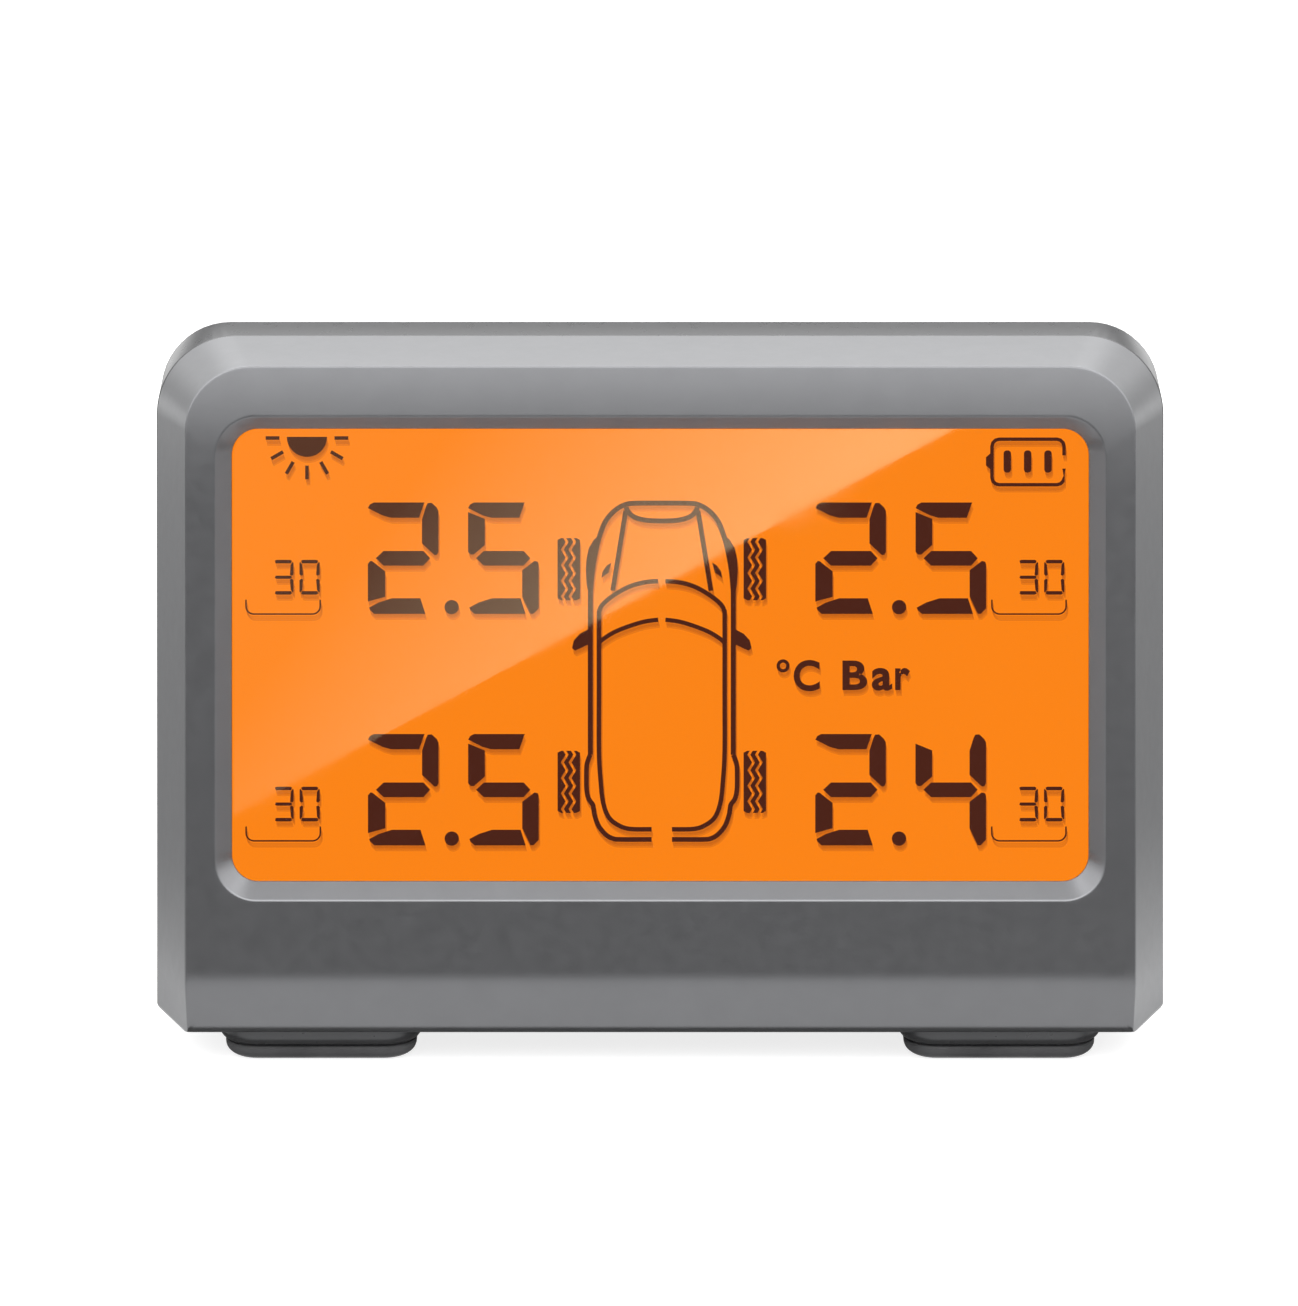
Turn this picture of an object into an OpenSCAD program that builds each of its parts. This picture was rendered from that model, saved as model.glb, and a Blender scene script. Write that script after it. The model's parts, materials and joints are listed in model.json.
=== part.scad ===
// Solar tyre pressure monitor for a dashboard: tilted display, solar panel on the rear slope.
// Frame: +Z up, the display faces -Y, origin under the middle of the body on the surface it stands on.

/* [Body] */
// Width of the body at the parting line between bezel and rear shell
body_w = 85; // [84:0.5:88]
// Depth of the body from the chin to the rear wall
body_d = 47; // [46:0.5:50]
// Lean of the display face back from upright, in degrees
face_tilt = 15; // [13:1:17]
// Wall thickness of both shells
wall = 1.8; // [1.6:0.1:2]
// Height of the body's underside above the surface it stands on
base_z = 3.1; // [3:0.1:3.4]

/* [Front face] */
// Width of the flat front face
face_w = 79; // [78:0.5:80]
// Height of the front face along its slope
face_h = 55.4; // [55:0.1:56]
// Depth of the flared skirt between the face and the parting line
skirt_d = 8.3; // [8:0.1:8.6]
// Rise of the skirt above the top edge of the face
skirt_rise = 3.1; // [2.8:0.1:3.3]
// Corner radius at the top of the face
face_r = 5.4; // [4:0.1:6]
// Corner radius at the top of the parting line
body_r = 6.7; // [5:0.1:8]
// Height on the face where the chin starts to bend back
chin_h = 5.2; // [4.6:0.1:5.4]
// Radius of the chin's bend
chin_r = 5; // [4:0.5:6]
// Angle that the chin turns back through, in degrees
chin_turn = 30; // [25:1:32]

/* [Display] */
// Width of the visible display
view_w = 71.4; // [70:0.1:72]
// Height of the visible display
view_h = 37.7; // [37:0.1:38]
// Height of the display's centre on the face
view_v = 31.4; // [31:0.1:31.6]
// Width of the window's recess where it meets the face
recess_w = 74; // [73.5:0.1:74.4]
// Height of the window's recess where it meets the face
recess_h = 40.2; // [40:0.1:40.4]
// Depth of the recess's sloping sides
recess_d = 1.3; // [1:0.1:1.4]
// Thickness of the clear lens
lens_t = 1; // [0.8:0.1:1]

/* [Rear] */
// Length of the flat roof behind the parting line
roof_d = 5.1; // [4.6:0.1:5.4]
// Corner radius at the rear end of the roof
roof_r = 6; // [5.6:0.1:6.6]
// Height of the rear wall's knee, where the solar slope starts
knee_z = 26; // [25:0.5:27]
// Rounding of the rear edges
edge_r = 3; // [2.6:0.1:3.2]
// Width of the solar panel's pocket
solar_w = 68; // [64:0.5:69]
// Height of the solar panel's pocket along the slope
solar_h = 30.4; // [28:0.2:31]

/* [Buttons] */
// Width of a button
button_w = 12; // [10:0.5:12]
// Height of a button
button_h = 5.4; // [5:0.1:6]
// Distance between button centres
button_pitch = 16; // [15.6:0.1:16.4]
// Height of the button row above the standing surface
button_z = 17.5; // [17:0.1:18]
// Travel of a button
button_travel = 0.4; // [0.2:0.05:0.5]
// How far a button stands out of the rear wall
button_proud = 0.7; // [0.6:0.1:1]

/* [Feet] */
// Width of a foot where it meets the body
foot_w = 17; // [15:0.5:17.5]
// Distance of a foot's centre from the middle
foot_x = 28.5; // [28:0.1:29]
// Length of a foot from front to back
foot_l = 42; // [38:0.5:43]
// Height of the rubber pad that shows below the foot's plinth
pad_show = 1.35; // [1.2:0.05:1.5]

/* [Hidden] */
$fn = 48;
eps = 0.01;

// The face's own frame: x across, v up the face, w in depth behind it.
chin_end_v = chin_h - chin_r * sin(chin_turn);
chin_end_w = chin_r * (1 - cos(chin_turn));
corner_w = chin_end_w + chin_end_v * tan(chin_turn);
nose_y = (chin_h - chin_r * sin(face_tilt)) * sin(face_tilt)
         + chin_r * (1 - cos(face_tilt)) * cos(face_tilt);
front_y = -(body_d + button_proud) / 2;
origin_y = front_y - nose_y;
origin_z = base_z + corner_w * sin(face_tilt);
skirt_top = face_h + skirt_rise;
function base_v(w) = (w - corner_w) * tan(face_tilt);
function world_y(v, w) = origin_y + v * sin(face_tilt) + w * cos(face_tilt);
function world_z(v, w) = origin_z + v * cos(face_tilt) - w * sin(face_tilt);

// The rear: a flat roof, a slope for the solar panel, and an upright wall.
roof_z = world_z(skirt_top, skirt_d);
roof_end_y = world_y(skirt_top, skirt_d) + roof_d;
rear_y = (body_d - button_proud) / 2;
roof_half_w = body_w / 2;
rear_half_w = 40.5;
knee_y = rear_y - edge_r;
slope_run = knee_y - roof_end_y;
slope_drop = roof_z - knee_z;
// Angle of the line from the roof's end that touches the knee's round, in degrees below level
slope_a = atan2(slope_drop, slope_run) - asin(edge_r / norm([slope_run, slope_drop]));
slope_l = slope_run * cos(slope_a) + slope_drop * sin(slope_a);
roof_round_y = roof_end_y - edge_r * tan(slope_a / 2);

// Display stack: depth of each layer's front behind the face
adhesive_t = 0.2;
lens_w0 = wall + adhesive_t;
gasket_w0 = lens_w0 + lens_t;
polarizer_w0 = gasket_w0 + 0.2;
glass_t = 0.7;
film_t = 0.2;
front_glass_w0 = polarizer_w0 + film_t;
rear_glass_w0 = front_glass_w0 + glass_t;
rear_film_w0 = rear_glass_w0 + glass_t;
tray_w0 = rear_film_w0 + film_t;
guide_w0 = tray_w0 + film_t;
guide_t = 2;
tray_t = 3;
lens_w = view_w + 3.6;
lens_h = view_h + 3.7;
glass_bottom = 8.7;
glass_top = view_v + lens_h / 2;
tray_bottom = 10.9;
tray_top = 52.4;
pocket_w = 73.4;
pocket_h = 39.6;

// Main circuit board, parallel to the face
board_w0 = 9;
board_t = 1.2;
board_back = board_w0 + board_t;
board_half_w = 38;
board_bottom = 4.5;
board_top = 56.2;
board_notch_x = 31;
board_notch_v = 11.4;
board_screws = [[-27, 6.6], [27, 6.6], [-28, 54.4], [28, 54.4]];
socket_v = 20;
socket_x = 24;
socket_h = 5;

// Screws: shank radius, head radius, head height
board_screw = [0.95, 1.7, 1.2];
case_screw = [1.25, 2.1, 1.6];
case_screw_l = 8;
case_screw_x = 35;
case_screw_z = 7.8;
case_boss_r = 2.3;
case_seat_y = -11;

// Key board behind the rear wall, upright
key_board_y = 15.3;
key_board_t = 1.2;
key_back_y = key_board_y + key_board_t;
key_board_z0 = 9.4;
key_board_z1 = 24.6;
key_board_half_w = 36;
key_post_x = 12;
key_post_z = 11.6;
key_post_r = 1.9;
inner_rear_y = rear_y - wall;
switch_size = 6.2;
switch_h = 3.1;
switch_bore_r = 1.8;
plunger_r = 1.7;
flange_t = 0.8;
flange_gap = 0.15;
button_gap = 0.2;
usb_x = -30.2;
usb_w = 8.9;
usb_h = 3.2;
usb_wall = 0.3;
buzzer_x = 30;
buzzer_r = 4.7;
buzzer_h = 4.2;

// Battery on the floor of the rear shell
battery = [50, 22, 6.4];
battery_y = 2.8;
battery_tape_t = 0.5;
floor_z = base_z + wall;

// Solar panel: depth of each layer's top below the slope
solar_r = 2.5;
cover_z = -0.3;
cover_t = 0.8;
cell_t = 0.3;
backing_t = 0.8;
solar_tape_t = 0.4;
pocket_z = cover_z - cover_t - cell_t - backing_t - solar_tape_t;
solar_gap = 0.2;
solar_d0 = (slope_l - solar_h) / 2 + 0.4;
cell_count = 10;
cell_gap = 0.4;
solar_margin = 1.4;
lead_x = 22;
lead_pitch = 1.6;
lead_r = 0.55;
lead_d = 18;

// Feet
foot_y0 = front_y + 1.6;
foot_r = 3.2;
foot_taper = 0.8;
pad_key = 0.5;
pad_side = 0.25;
pad_round = 0.9;

// ---------- shared shapes ----------

function arc(c, r, a0, a1, n = 8) =
  [for (i = [0:n]) c + r * [cos(a0 + (a1 - a0) * i / n), sin(a0 + (a1 - a0) * i / n)]];

// Outline of a rectangle from [x0, y0] to [x1, y1], with its own radius at the bottom and the top.
// A bottom radius of 0 leaves those corners sharp.
function round_box(x0, y0, x1, y1, r_low, r_high) = concat(
  r_low > 0 ? arc([x1 - r_low, y0 + r_low], r_low, -90, 0) : [[x1, y0]],
  arc([x1 - r_high, y1 - r_high], r_high, 0, 90),
  arc([x0 + r_high, y1 - r_high], r_high, 90, 180),
  r_low > 0 ? arc([x0 + r_low, y0 + r_low], r_low, 180, 270) : [[x0, y0]]);

// A rounded plate centred on [0, y], from z to z + t
module plate(w, h, r, y, z, t) {
  translate([0, 0, z])
    linear_extrude(t)
      polygon(round_box(-w / 2, y - h / 2, w / 2, y + h / 2, r, r));
}

module on_face() {
  translate([0, origin_y, origin_z]) rotate([90 - face_tilt, 0, 0]) children();
}

// x across, y down the slope from the roof's end, z outward
module on_slope() {
  translate([0, roof_end_y, roof_z]) rotate([-slope_a, 0, 0]) children();
}

// Turns a drawing of x across and z up so that its thickness runs back along +Y from y
module upright(y) {
  translate([0, y, 0]) rotate([90, 0, 0]) mirror([0, 0, 1]) children();
}

// A layer of the display stack, parallel to the face, from depth w to w + t
module layer(w, h, r, v, depth, t) {
  on_face() plate(w, h, r, v, -depth - t, t);
}

module mirrored() {
  children();
  mirror([1, 0, 0]) children();
}

// A tube along a list of points, as one closed mesh
function unit(a) = a / norm(a);
function tube_ring(path, i, r, sides, up) =
  let (
    n = len(path),
    t = unit(path[min(i + 1, n - 1)] - path[max(i - 1, 0)]),
    u = unit(cross(t, up)),
    k = cross(t, u)
  )
  [for (j = [0:sides - 1]) path[i] + r * (cos(360 * j / sides) * u + sin(360 * j / sides) * k)];

module tube(path, r, sides = 8, up = [0.13, 0.31, 1]) {
  n = len(path);
  points = [for (i = [0:n - 1]) each tube_ring(path, i, r, sides, up)];
  walls = [for (i = [0:n - 2]) for (j = [0:sides - 1])
    let (a = i * sides + j, b = i * sides + (j + 1) % sides)
    each [[a, b, b + sides], [a, b + sides, a + sides]]];
  ends = [
    [for (j = [0:sides - 1]) sides - 1 - j],
    [for (j = [0:sides - 1]) (n - 1) * sides + j]
  ];
  polyhedron(points, concat(walls, ends));
}

// Smooth points between the given ones
function curve_point(a, b, c, d, t) = 0.5 * (2 * b + (c - a) * t
  + (2 * a - 5 * b + 4 * c - d) * t * t + (3 * b - a - 3 * c + d) * t * t * t);
function smooth(path, n = 4) = concat(
  [for (i = [0:len(path) - 2]) for (s = [0:n - 1])
    curve_point(path[max(i - 1, 0)], path[i], path[i + 1], path[min(i + 2, len(path) - 1)], s / n)],
  [path[len(path) - 1]]);

// Pan-head screw standing head down at the origin, its shank up +Z
module screw(s, l) {
  difference() {
    union() {
      translate([0, 0, -s[2]]) cylinder(r = s[1], h = s[2]);
      cylinder(r = s[0], h = l);
    }
    for (a = [0, 90])
      rotate([0, 0, a]) translate([-s[1] * 0.6, -0.2, -s[2] - eps]) cube([s[1] * 1.2, 0.4, 0.6]);
  }
}

// ---------- shells ----------

// Side view of the face and chin, as [v, -w] points
function face_profile() =
  let (
    r = 0.9,
    turn = 90 - chin_turn + face_tilt,
    c = [r * tan(turn / 2) * sin(face_tilt) + r * cos(face_tilt),
         corner_w + r * tan(turn / 2) * cos(face_tilt) - r * sin(face_tilt)]
  )
  concat(
    [[face_h, -1], [face_h, 0]],
    [for (a = [0:5:chin_turn]) [chin_h - chin_r * sin(a), -chin_r * (1 - cos(a))]],
    [for (a = [chin_turn:15:90 + face_tilt]) [c[0] - r * sin(a), -c[1] + r * cos(a)]],
    [[c[0] + 1, -c[1] - 1]]);

function parting_outline(inset) = round_box(
  -body_w / 2 + inset, base_v(skirt_d) + inset,
  body_w / 2 - inset, skirt_top - inset,
  inset > 0 ? 1 : 0, body_r - inset);

// Solid outside of the bezel: the curved face flares out to the parting line
module bezel_body() {
  on_face() hull() {
    intersection() {
      rotate([90, 0, 90]) linear_extrude(face_w, center = true) polygon(face_profile());
      translate([0, 0, -skirt_d]) linear_extrude(skirt_d + 1)
        polygon(round_box(-face_w / 2, -1, face_w / 2, face_h, 0, face_r));
    }
    translate([0, 0, -skirt_d]) linear_extrude(0.1) polygon(parting_outline(0));
  }
}

module bezel_cavity() {
  flare = (body_w - face_w) / 2 * wall / skirt_d;
  on_face() hull() {
    translate([0, 0, -wall - eps]) linear_extrude(eps)
      polygon(round_box(-face_w / 2 - flare + wall, 6.6, face_w / 2 + flare - wall,
                        face_h - wall + 0.6, 1, face_r - wall));
    translate([0, 0, -skirt_d - 1]) linear_extrude(1 + eps) polygon(parting_outline(wall));
  }
}

module window_cut() {
  on_face() {
    hull() {
      plate(recess_w, recess_h, 3.4, view_v - 0.3, 0, eps);
      plate(view_w, view_h, 2.2, view_v, -recess_d, eps);
    }
    plate(recess_w, recess_h, 3.4, view_v - 0.3, 0, 1);
    plate(view_w, view_h, 2.2, view_v, -wall - 1, 1 + wall - recess_d + eps);
  }
}

// The half of space in front of the parting plane
module front_half() {
  on_face() translate([-60, -60, -skirt_d]) cube([120, 160, 60]);
}

module foot_plinth() {
  translate([foot_x, foot_y0 + foot_l / 2, 0]) hull() {
    translate([0, 0, base_z + 0.4]) linear_extrude(0.4) offset_box(0);
    translate([0, 0, pad_show]) linear_extrude(0.3) offset_box(-foot_taper);
  }
}

// The plinth's outline in plan, drawn in by a distance
module offset_box(d) {
  polygon(round_box(-foot_w / 2 - d, -foot_l / 2 - d, foot_w / 2 + d, foot_l / 2 + d,
                    foot_r + d, foot_r + d));
}

module pad_pocket() {
  translate([foot_x, foot_y0 + foot_l / 2, pad_show - 1])
    linear_extrude(1 + pad_key) offset_box(-foot_taper - pad_side);
}

// Posts that the main board is screwed to; their roots stay inside the bezel's walls
module board_posts() {
  intersection() {
    bezel_body();
    posts(wall / 2, 5);
  }
  posts(5 - eps, board_w0);
}

module posts(w0, w1) {
  on_face() for (p = board_screws)
    translate([p[0], p[1], -w1]) cylinder(r = 1.9, h = w1 - w0);
}

module board_post_holes() {
  on_face() for (p = board_screws)
    translate([p[0], p[1], -board_w0 - eps]) cylinder(r = 1, h = 5);
}

module case_boss() {
  translate([case_screw_x, -20.5, case_screw_z]) rotate([-90, 0, 0]) cylinder(r = case_boss_r, h = 8);
  translate([case_screw_x - case_boss_r, -20.5, 3.2]) cube([2 * case_boss_r, 8, case_screw_z - 3.2]);
}

module front_bezel() {
  color("dimgray") difference() {
    union() {
      difference() {
        bezel_body();
        bezel_cavity();
        window_cut();
      }
      intersection() {
        mirrored() case_boss();
        bezel_body();
      }
      intersection() {
        front_half();
        mirrored() foot_plinth();
      }
      board_posts();
    }
    board_post_holes();
    mirrored() pad_pocket();
    mirrored() translate([case_screw_x, -20, case_screw_z]) rotate([-90, 0, 0])
      cylinder(r = case_screw[0] + 0.05, h = 8);
  }
}

module ball(r) {
  rotate_extrude($fn = 28) polygon([for (a = [-90:15:90]) r * [cos(a), sin(a)]]);
}

// A rounded end for the roof's rear edge, and the corners of the rear wall
module rear_round(inset) {
  r = edge_r - inset;
  for (side = [-1, 1]) {
    translate([side * (roof_half_w - roof_r), roof_round_y, roof_z - roof_r])
      rotate([90, 0, 0]) rotate_extrude($fn = 28) translate([roof_r - edge_r, 0]) circle(r, $fn = 20);
    for (z = [knee_z, base_z + edge_r])
      translate([side * (rear_half_w - edge_r), knee_y, z]) ball(r);
  }
}

// Outside of the rear shell, or with an inset its cavity, which opens through the parting plane
module shell_body(inset) {
  hull() {
    on_face() translate([0, 0, -skirt_d - 0.2]) linear_extrude(inset > 0 ? 1.2 : 0.2)
      polygon(parting_outline(inset));
    rear_round(inset);
  }
}

module pill(w, h, t) {
  linear_extrude(t) {
    square([w - h, h], center = true);
    for (s = [-1, 1]) translate([s * (w - h) / 2, 0]) circle(h / 2);
  }
}

// Openings in the rear wall: three buttons, the charging port and the buzzer's holes
module rear_wall_cuts() {
  for (i = [-1, 0, 1])
    translate([i * button_pitch, rear_y + 1, button_z]) rotate([90, 0, 0])
      pill(button_w + 2 * button_gap, button_h + 2 * button_gap, wall + 3);
  translate([usb_x, rear_y + 1, button_z]) rotate([90, 0, 0])
    pill(usb_w + 0.4, usb_h + 0.4, wall + 3);
  for (i = [0:5]) translate([buzzer_x + 2.7 * cos(60 * i), rear_y + 1, button_z + 2.7 * sin(60 * i)])
    rotate([90, 0, 0]) cylinder(r = 0.7, h = wall + 3);
  translate([buzzer_x, rear_y + 1, button_z]) rotate([90, 0, 0]) cylinder(r = 0.7, h = wall + 3);
}

module solar_pocket(grow, z0, z1) {
  translate([0, 0, z0]) linear_extrude(z1 - z0)
    polygon(round_box(-solar_w / 2 - grow, solar_d0 - grow, solar_w / 2 + grow,
                      solar_d0 + solar_h + grow, solar_r, solar_r));
}

// Tube around a case screw, from the rear wall to the parting plane
module screw_tube() {
  difference() {
    translate([case_screw_x, -18, case_screw_z]) rotate([-90, 0, 0]) cylinder(r = 3.5, h = rear_y + 18 - wall / 2);
    front_half();
  }
}

module screw_tube_hole() {
  translate([case_screw_x, case_seat_y, case_screw_z]) rotate([-90, 0, 0]) cylinder(r = 2.4, h = 40);
  translate([case_screw_x, -20, case_screw_z]) rotate([-90, 0, 0]) cylinder(r = 1.45, h = 12);
}

// Lip that stands into the bezel and lines the two shells up
module side_lip() {
  w0 = skirt_d - 1;
  on_face() {
    translate([39.3, 16, -skirt_d - 2]) cube([0.8, 32, 3]);
    translate([40, 16, -skirt_d - 2]) cube([1.4, 32, 1.9]);
  }
}

module rear_shell() {
  color("gray") difference() {
    union() {
      difference() {
        shell_body(0);
        shell_body(wall);
      }
      intersection() {
        shell_body(0.4);
        union() {
          on_slope() solar_pocket(1.8, pocket_z - wall, -0.6);
          mirrored() screw_tube();
        }
      }
      for (s = [-1, 1]) translate([s * key_post_x, key_back_y, key_post_z])
        rotate([-90, 0, 0]) cylinder(r = key_post_r, h = rear_y - key_back_y - wall / 2);
      difference() {
        mirrored() foot_plinth();
        front_half();
      }
      mirrored() side_lip();
    }
    on_face() translate([-60, -60, -skirt_d]) cube([60 - 40.3, 160, 20]);
    on_face() translate([40.3, -60, -skirt_d]) cube([60 - 40.3, 160, 20]);
    on_slope() solar_pocket(0, pocket_z, 3);
    on_slope() for (s = [-1, 1]) translate([lead_x + s * lead_pitch / 2, lead_d, pocket_z - 6])
      cylinder(r = lead_r + 0.15, h = 10);
    rear_wall_cuts();
    for (s = [-1, 1]) translate([s * key_post_x, key_back_y - eps, key_post_z])
      rotate([-90, 0, 0]) cylinder(r = 1, h = 4.6);
    mirrored() screw_tube_hole();
    mirrored() pad_pocket();
  }
}

// ---------- display ----------

module frame_layer(inner_w, inner_h, depth, t) {
  difference() {
    layer(lens_w, lens_h, 3, view_v, depth, t);
    layer(inner_w, inner_h, 2, view_v, depth - 1, t + 2);
  }
}

module lens_adhesive() { color("black") frame_layer(view_w + 0.8, view_h + 0.8, wall, adhesive_t); }
module display_lens() { color("white", 0.3) layer(lens_w, lens_h, 3, view_v, lens_w0, lens_t); }
module lcd_gasket() { color("black") frame_layer(view_w + 1, view_h + 1, gasket_w0, 0.2); }
module front_polarizer() {
  color("darkorange") layer(view_w + 2.6, view_h + 2.6, 0.5, view_v, polarizer_w0, film_t);
}
module lcd_front_glass() {
  color("lightcyan", 0.4)
    layer(lens_w, glass_top - glass_bottom, 0.4, (glass_top + glass_bottom) / 2, front_glass_w0, glass_t);
}
module lcd_rear_glass() {
  color("lightcyan", 0.4)
    layer(lens_w, glass_top - tray_bottom - 0.3, 0.4, (glass_top + tray_bottom + 0.3) / 2,
          rear_glass_w0, glass_t);
}
module rear_polarizer() {
  color("gray") layer(view_w + 2.6, view_h + 2.2, 0.5, view_v + 0.2, rear_film_w0, film_t);
}
module diffuser_film() {
  color("white") layer(view_w + 1.6, view_h + 1.6, 0.5, view_v, tray_w0, film_t);
}
module light_guide() {
  color("white", 0.6) on_face()
    translate([-pocket_w / 2 + 0.2, view_v - pocket_h / 2 + 0.2, -guide_w0 - guide_t])
      cube([pocket_w - 2.4, pocket_h - 0.4, guide_t]);
}
module reflector_film() {
  color("silver") layer(view_w + 1.6, view_h + 1.6, 0.5, view_v, guide_w0 + guide_t, film_t);
}
module backlight_frame() {
  color("white") difference() {
    layer(lens_w + 1, tray_top - tray_bottom, 1, (tray_top + tray_bottom) / 2, tray_w0, tray_t);
    layer(pocket_w, pocket_h, 0.5, view_v, tray_w0 - 1, 1 + film_t + guide_t + film_t);
  }
}

// A flex strip standing along the light guide's edge, with its LEDs facing the guide
module backlight_leds() {
  led_x = pocket_w / 2 - 0.3;
  color("khaki") on_face() {
    translate([led_x, view_v - 17, -guide_w0 - guide_t]) cube([0.2, 34, guide_t]);
    for (i = [-1.5:1:1.5])
      translate([led_x - 1.5, view_v + 9 * i - 1.4, -guide_w0 - guide_t + 0.4]) cube([1.5, 2.8, 1.2]);
  }
}
module zebra_strip() {
  color("black") on_face() translate([-30, glass_bottom + 0.1, -board_w0])
    cube([60, 1.8, board_w0 - rear_glass_w0]);
}

// ---------- main board ----------

module main_board() {
  hw = board_half_w;
  color("darkgreen") on_face() difference() {
    translate([0, 0, -board_back]) linear_extrude(board_t) polygon(concat(
      [[-board_notch_x, board_bottom], [board_notch_x, board_bottom], [board_notch_x, board_notch_v],
       [hw, board_notch_v]],
      arc([hw - 5, board_top - 5], 5, 0, 90), arc([5 - hw, board_top - 5], 5, 90, 180),
      [[-hw, board_notch_v], [-board_notch_x, board_notch_v]]));
    for (p = board_screws)
      translate([p[0], p[1], -board_back - 1]) cylinder(r = board_screw[0] + 0.15, h = board_t + 2);
  }
}

// A box on the back of the main board
module board_part(x, v, w, h, t) {
  on_face() translate([x - w / 2, v - h / 2, -board_back - t]) cube([w, h, t]);
}
module microcontroller() { color("black") board_part(-8, 33, 10, 10, 1.4); }
module radio_receiver() { color("black") board_part(13, 40, 5, 5, 0.9); }
module crystal() { color("silver") board_part(20, 40, 5, 3.2, 1.1); }
module power_inductor() { color("dimgray") board_part(14, 28, 4.5, 4.5, 2.4); }
module chip_components() {
  color("tan") {
    for (i = [0:6]) board_part(-18 + 3 * i, 25, 1, 1.8, 0.6);
    for (i = [0:4]) board_part(9 + 2.6 * i, 34, 1.2, 2, 0.8);
    for (i = [0:5]) board_part(-22 + 2.6 * i, 41, 1.2, 2, 0.8);
    board_part(27, 30, 3.2, 6, 1.8);
  }
}

// Helical aerial lying along the top of the board
module antenna_coil() {
  turns = 7;
  coil_r = 2.4;
  coil_l = 15;
  steps = 12;
  path = [for (i = [0:turns * steps])
    [coil_l * i / (turns * steps) - coil_l / 2, coil_r * cos(360 * i / steps), coil_r * sin(360 * i / steps)]];
  color("orange") on_face() translate([4, 48.5, -board_back - coil_r - 0.7])
    tube(concat([[-coil_l / 2 - 2, coil_r, 0]], path, [[coil_l / 2 + 2, coil_r, 0]]), 0.4, 6, [0.02, 0.03, 1]);
}
module vibration_sensor() {
  color("silver") on_face() translate([-30, 48.5, -board_back - 2.1]) rotate([0, 90, 0])
    cylinder(r = 2, h = 10);
}

// Two-way wire connectors: a socket on the board and the plug pushed into it from behind
module socket_at(x) {
  color("ivory") on_face() translate([x, socket_v, -board_back - socket_h]) difference() {
    translate([-3.6, -2.4, 0]) cube([7.2, 4.8, socket_h]);
    translate([-2.9, -1.7, -1]) cube([5.8, 3.4, socket_h - 0.2]);
  }
}
module plug_at(x) {
  color("ivory") on_face() translate([x, socket_v, -board_back - socket_h]) difference() {
    translate([-2.8, -1.6, -1.6]) cube([5.6, 3.2, socket_h + 0.3]);
    for (s = [-1, 1]) translate([s * lead_pitch / 2, 0, -2]) cylinder(r = lead_r + 0.05, h = 2.4);
  }
}
module battery_socket() { socket_at(-socket_x); }
module battery_plug() { plug_at(-socket_x); }
module solar_socket() { socket_at(socket_x); }
module solar_plug() { plug_at(socket_x); }

plug_w = board_back + socket_h;
plug_y = world_y(socket_v, plug_w);
plug_z = world_z(socket_v, plug_w);
back = [0, cos(face_tilt), -sin(face_tilt)];

module battery_leads() {
  for (s = [-1, 1]) {
    start = [-socket_x + s * lead_pitch / 2, plug_y, plug_z];
    color(s < 0 ? "red" : "black") tube(smooth([
      start, start + 2 * back, start + 4 * back + [-1, 0.4, -0.6],
      [-29 + s, 2 + s, 13], [-29.5 + s * 0.3, 4 + s * 1.2, 9.5], [-27.6, 5 + s * 1.2, 8], [-25.3, 5 + s * 1.2, 8]
    ], 3), lead_r, 8);
  }
}
module solar_leads() {
  in = [0, -sin(slope_a), -cos(slope_a)];
  for (s = [-1, 1]) {
    y = roof_end_y + lead_d * cos(slope_a) + (-pocket_z) * in[1];
    z = roof_z - lead_d * sin(slope_a) + (-pocket_z) * in[2];
    top = [lead_x + s * lead_pitch / 2, y, z];
    end = [socket_x + s * lead_pitch / 2, plug_y, plug_z];
    color(s < 0 ? "black" : "red") tube(smooth([
      top, top + 2 * in, top + 4.5 * in + [0, -0.2, -1], [24 + s, 3, 31], [25 + s, 3.4, 24],
      end + 4.2 * back + [0, 0.4, 0.8], end + 2 * back, end
    ], 3), lead_r, 8);
  }
}
module battery_cell() {
  color("silver") translate([0, battery_y, floor_z + battery_tape_t])
    translate([-battery[0] / 2, 0, 0]) rotate([90, 0, 90]) linear_extrude(battery[0])
      polygon(round_box(-battery[1] / 2, 0, battery[1] / 2, battery[2], 1.2, 1.2));
}
module battery_tape() {
  color("white") translate([-20, battery_y - 8, floor_z]) cube([40, 16, battery_tape_t]);
}
module main_board_screws() {
  on_face() for (p = board_screws)
    color("silver") translate([p[0], p[1], -board_back]) screw(board_screw, 5);
}

// ---------- key board ----------

module key_board() {
  color("darkgreen") difference() {
    translate([-key_board_half_w, key_board_y, key_board_z0])
      cube([2 * key_board_half_w, key_board_t, key_board_z1 - key_board_z0]);
    for (s = [-1, 1]) translate([s * key_post_x, key_board_y - 1, key_post_z])
      rotate([-90, 0, 0]) cylinder(r = board_screw[0] + 0.15, h = 4);
    mirrored() translate([case_screw_x, key_board_y - 1, case_screw_z]) rotate([-90, 0, 0])
      cylinder(r = 3.8, h = 4);
  }
}
module key_board_screws() {
  for (s = [-1, 1]) color("silver")
    translate([s * key_post_x, key_board_y, key_post_z]) rotate([-90, 0, 0]) screw(board_screw, 5);
}
module tact_switches() {
  color("black") for (i = [-1, 0, 1])
    translate([i * button_pitch, key_back_y, button_z]) rotate([-90, 0, 0]) difference() {
      translate([-switch_size / 2, -switch_size / 2, 0]) cube([switch_size, switch_size, switch_h]);
      translate([0, 0, switch_h - 2]) cylinder(r = switch_bore_r, h = 3);
    }
}

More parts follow.
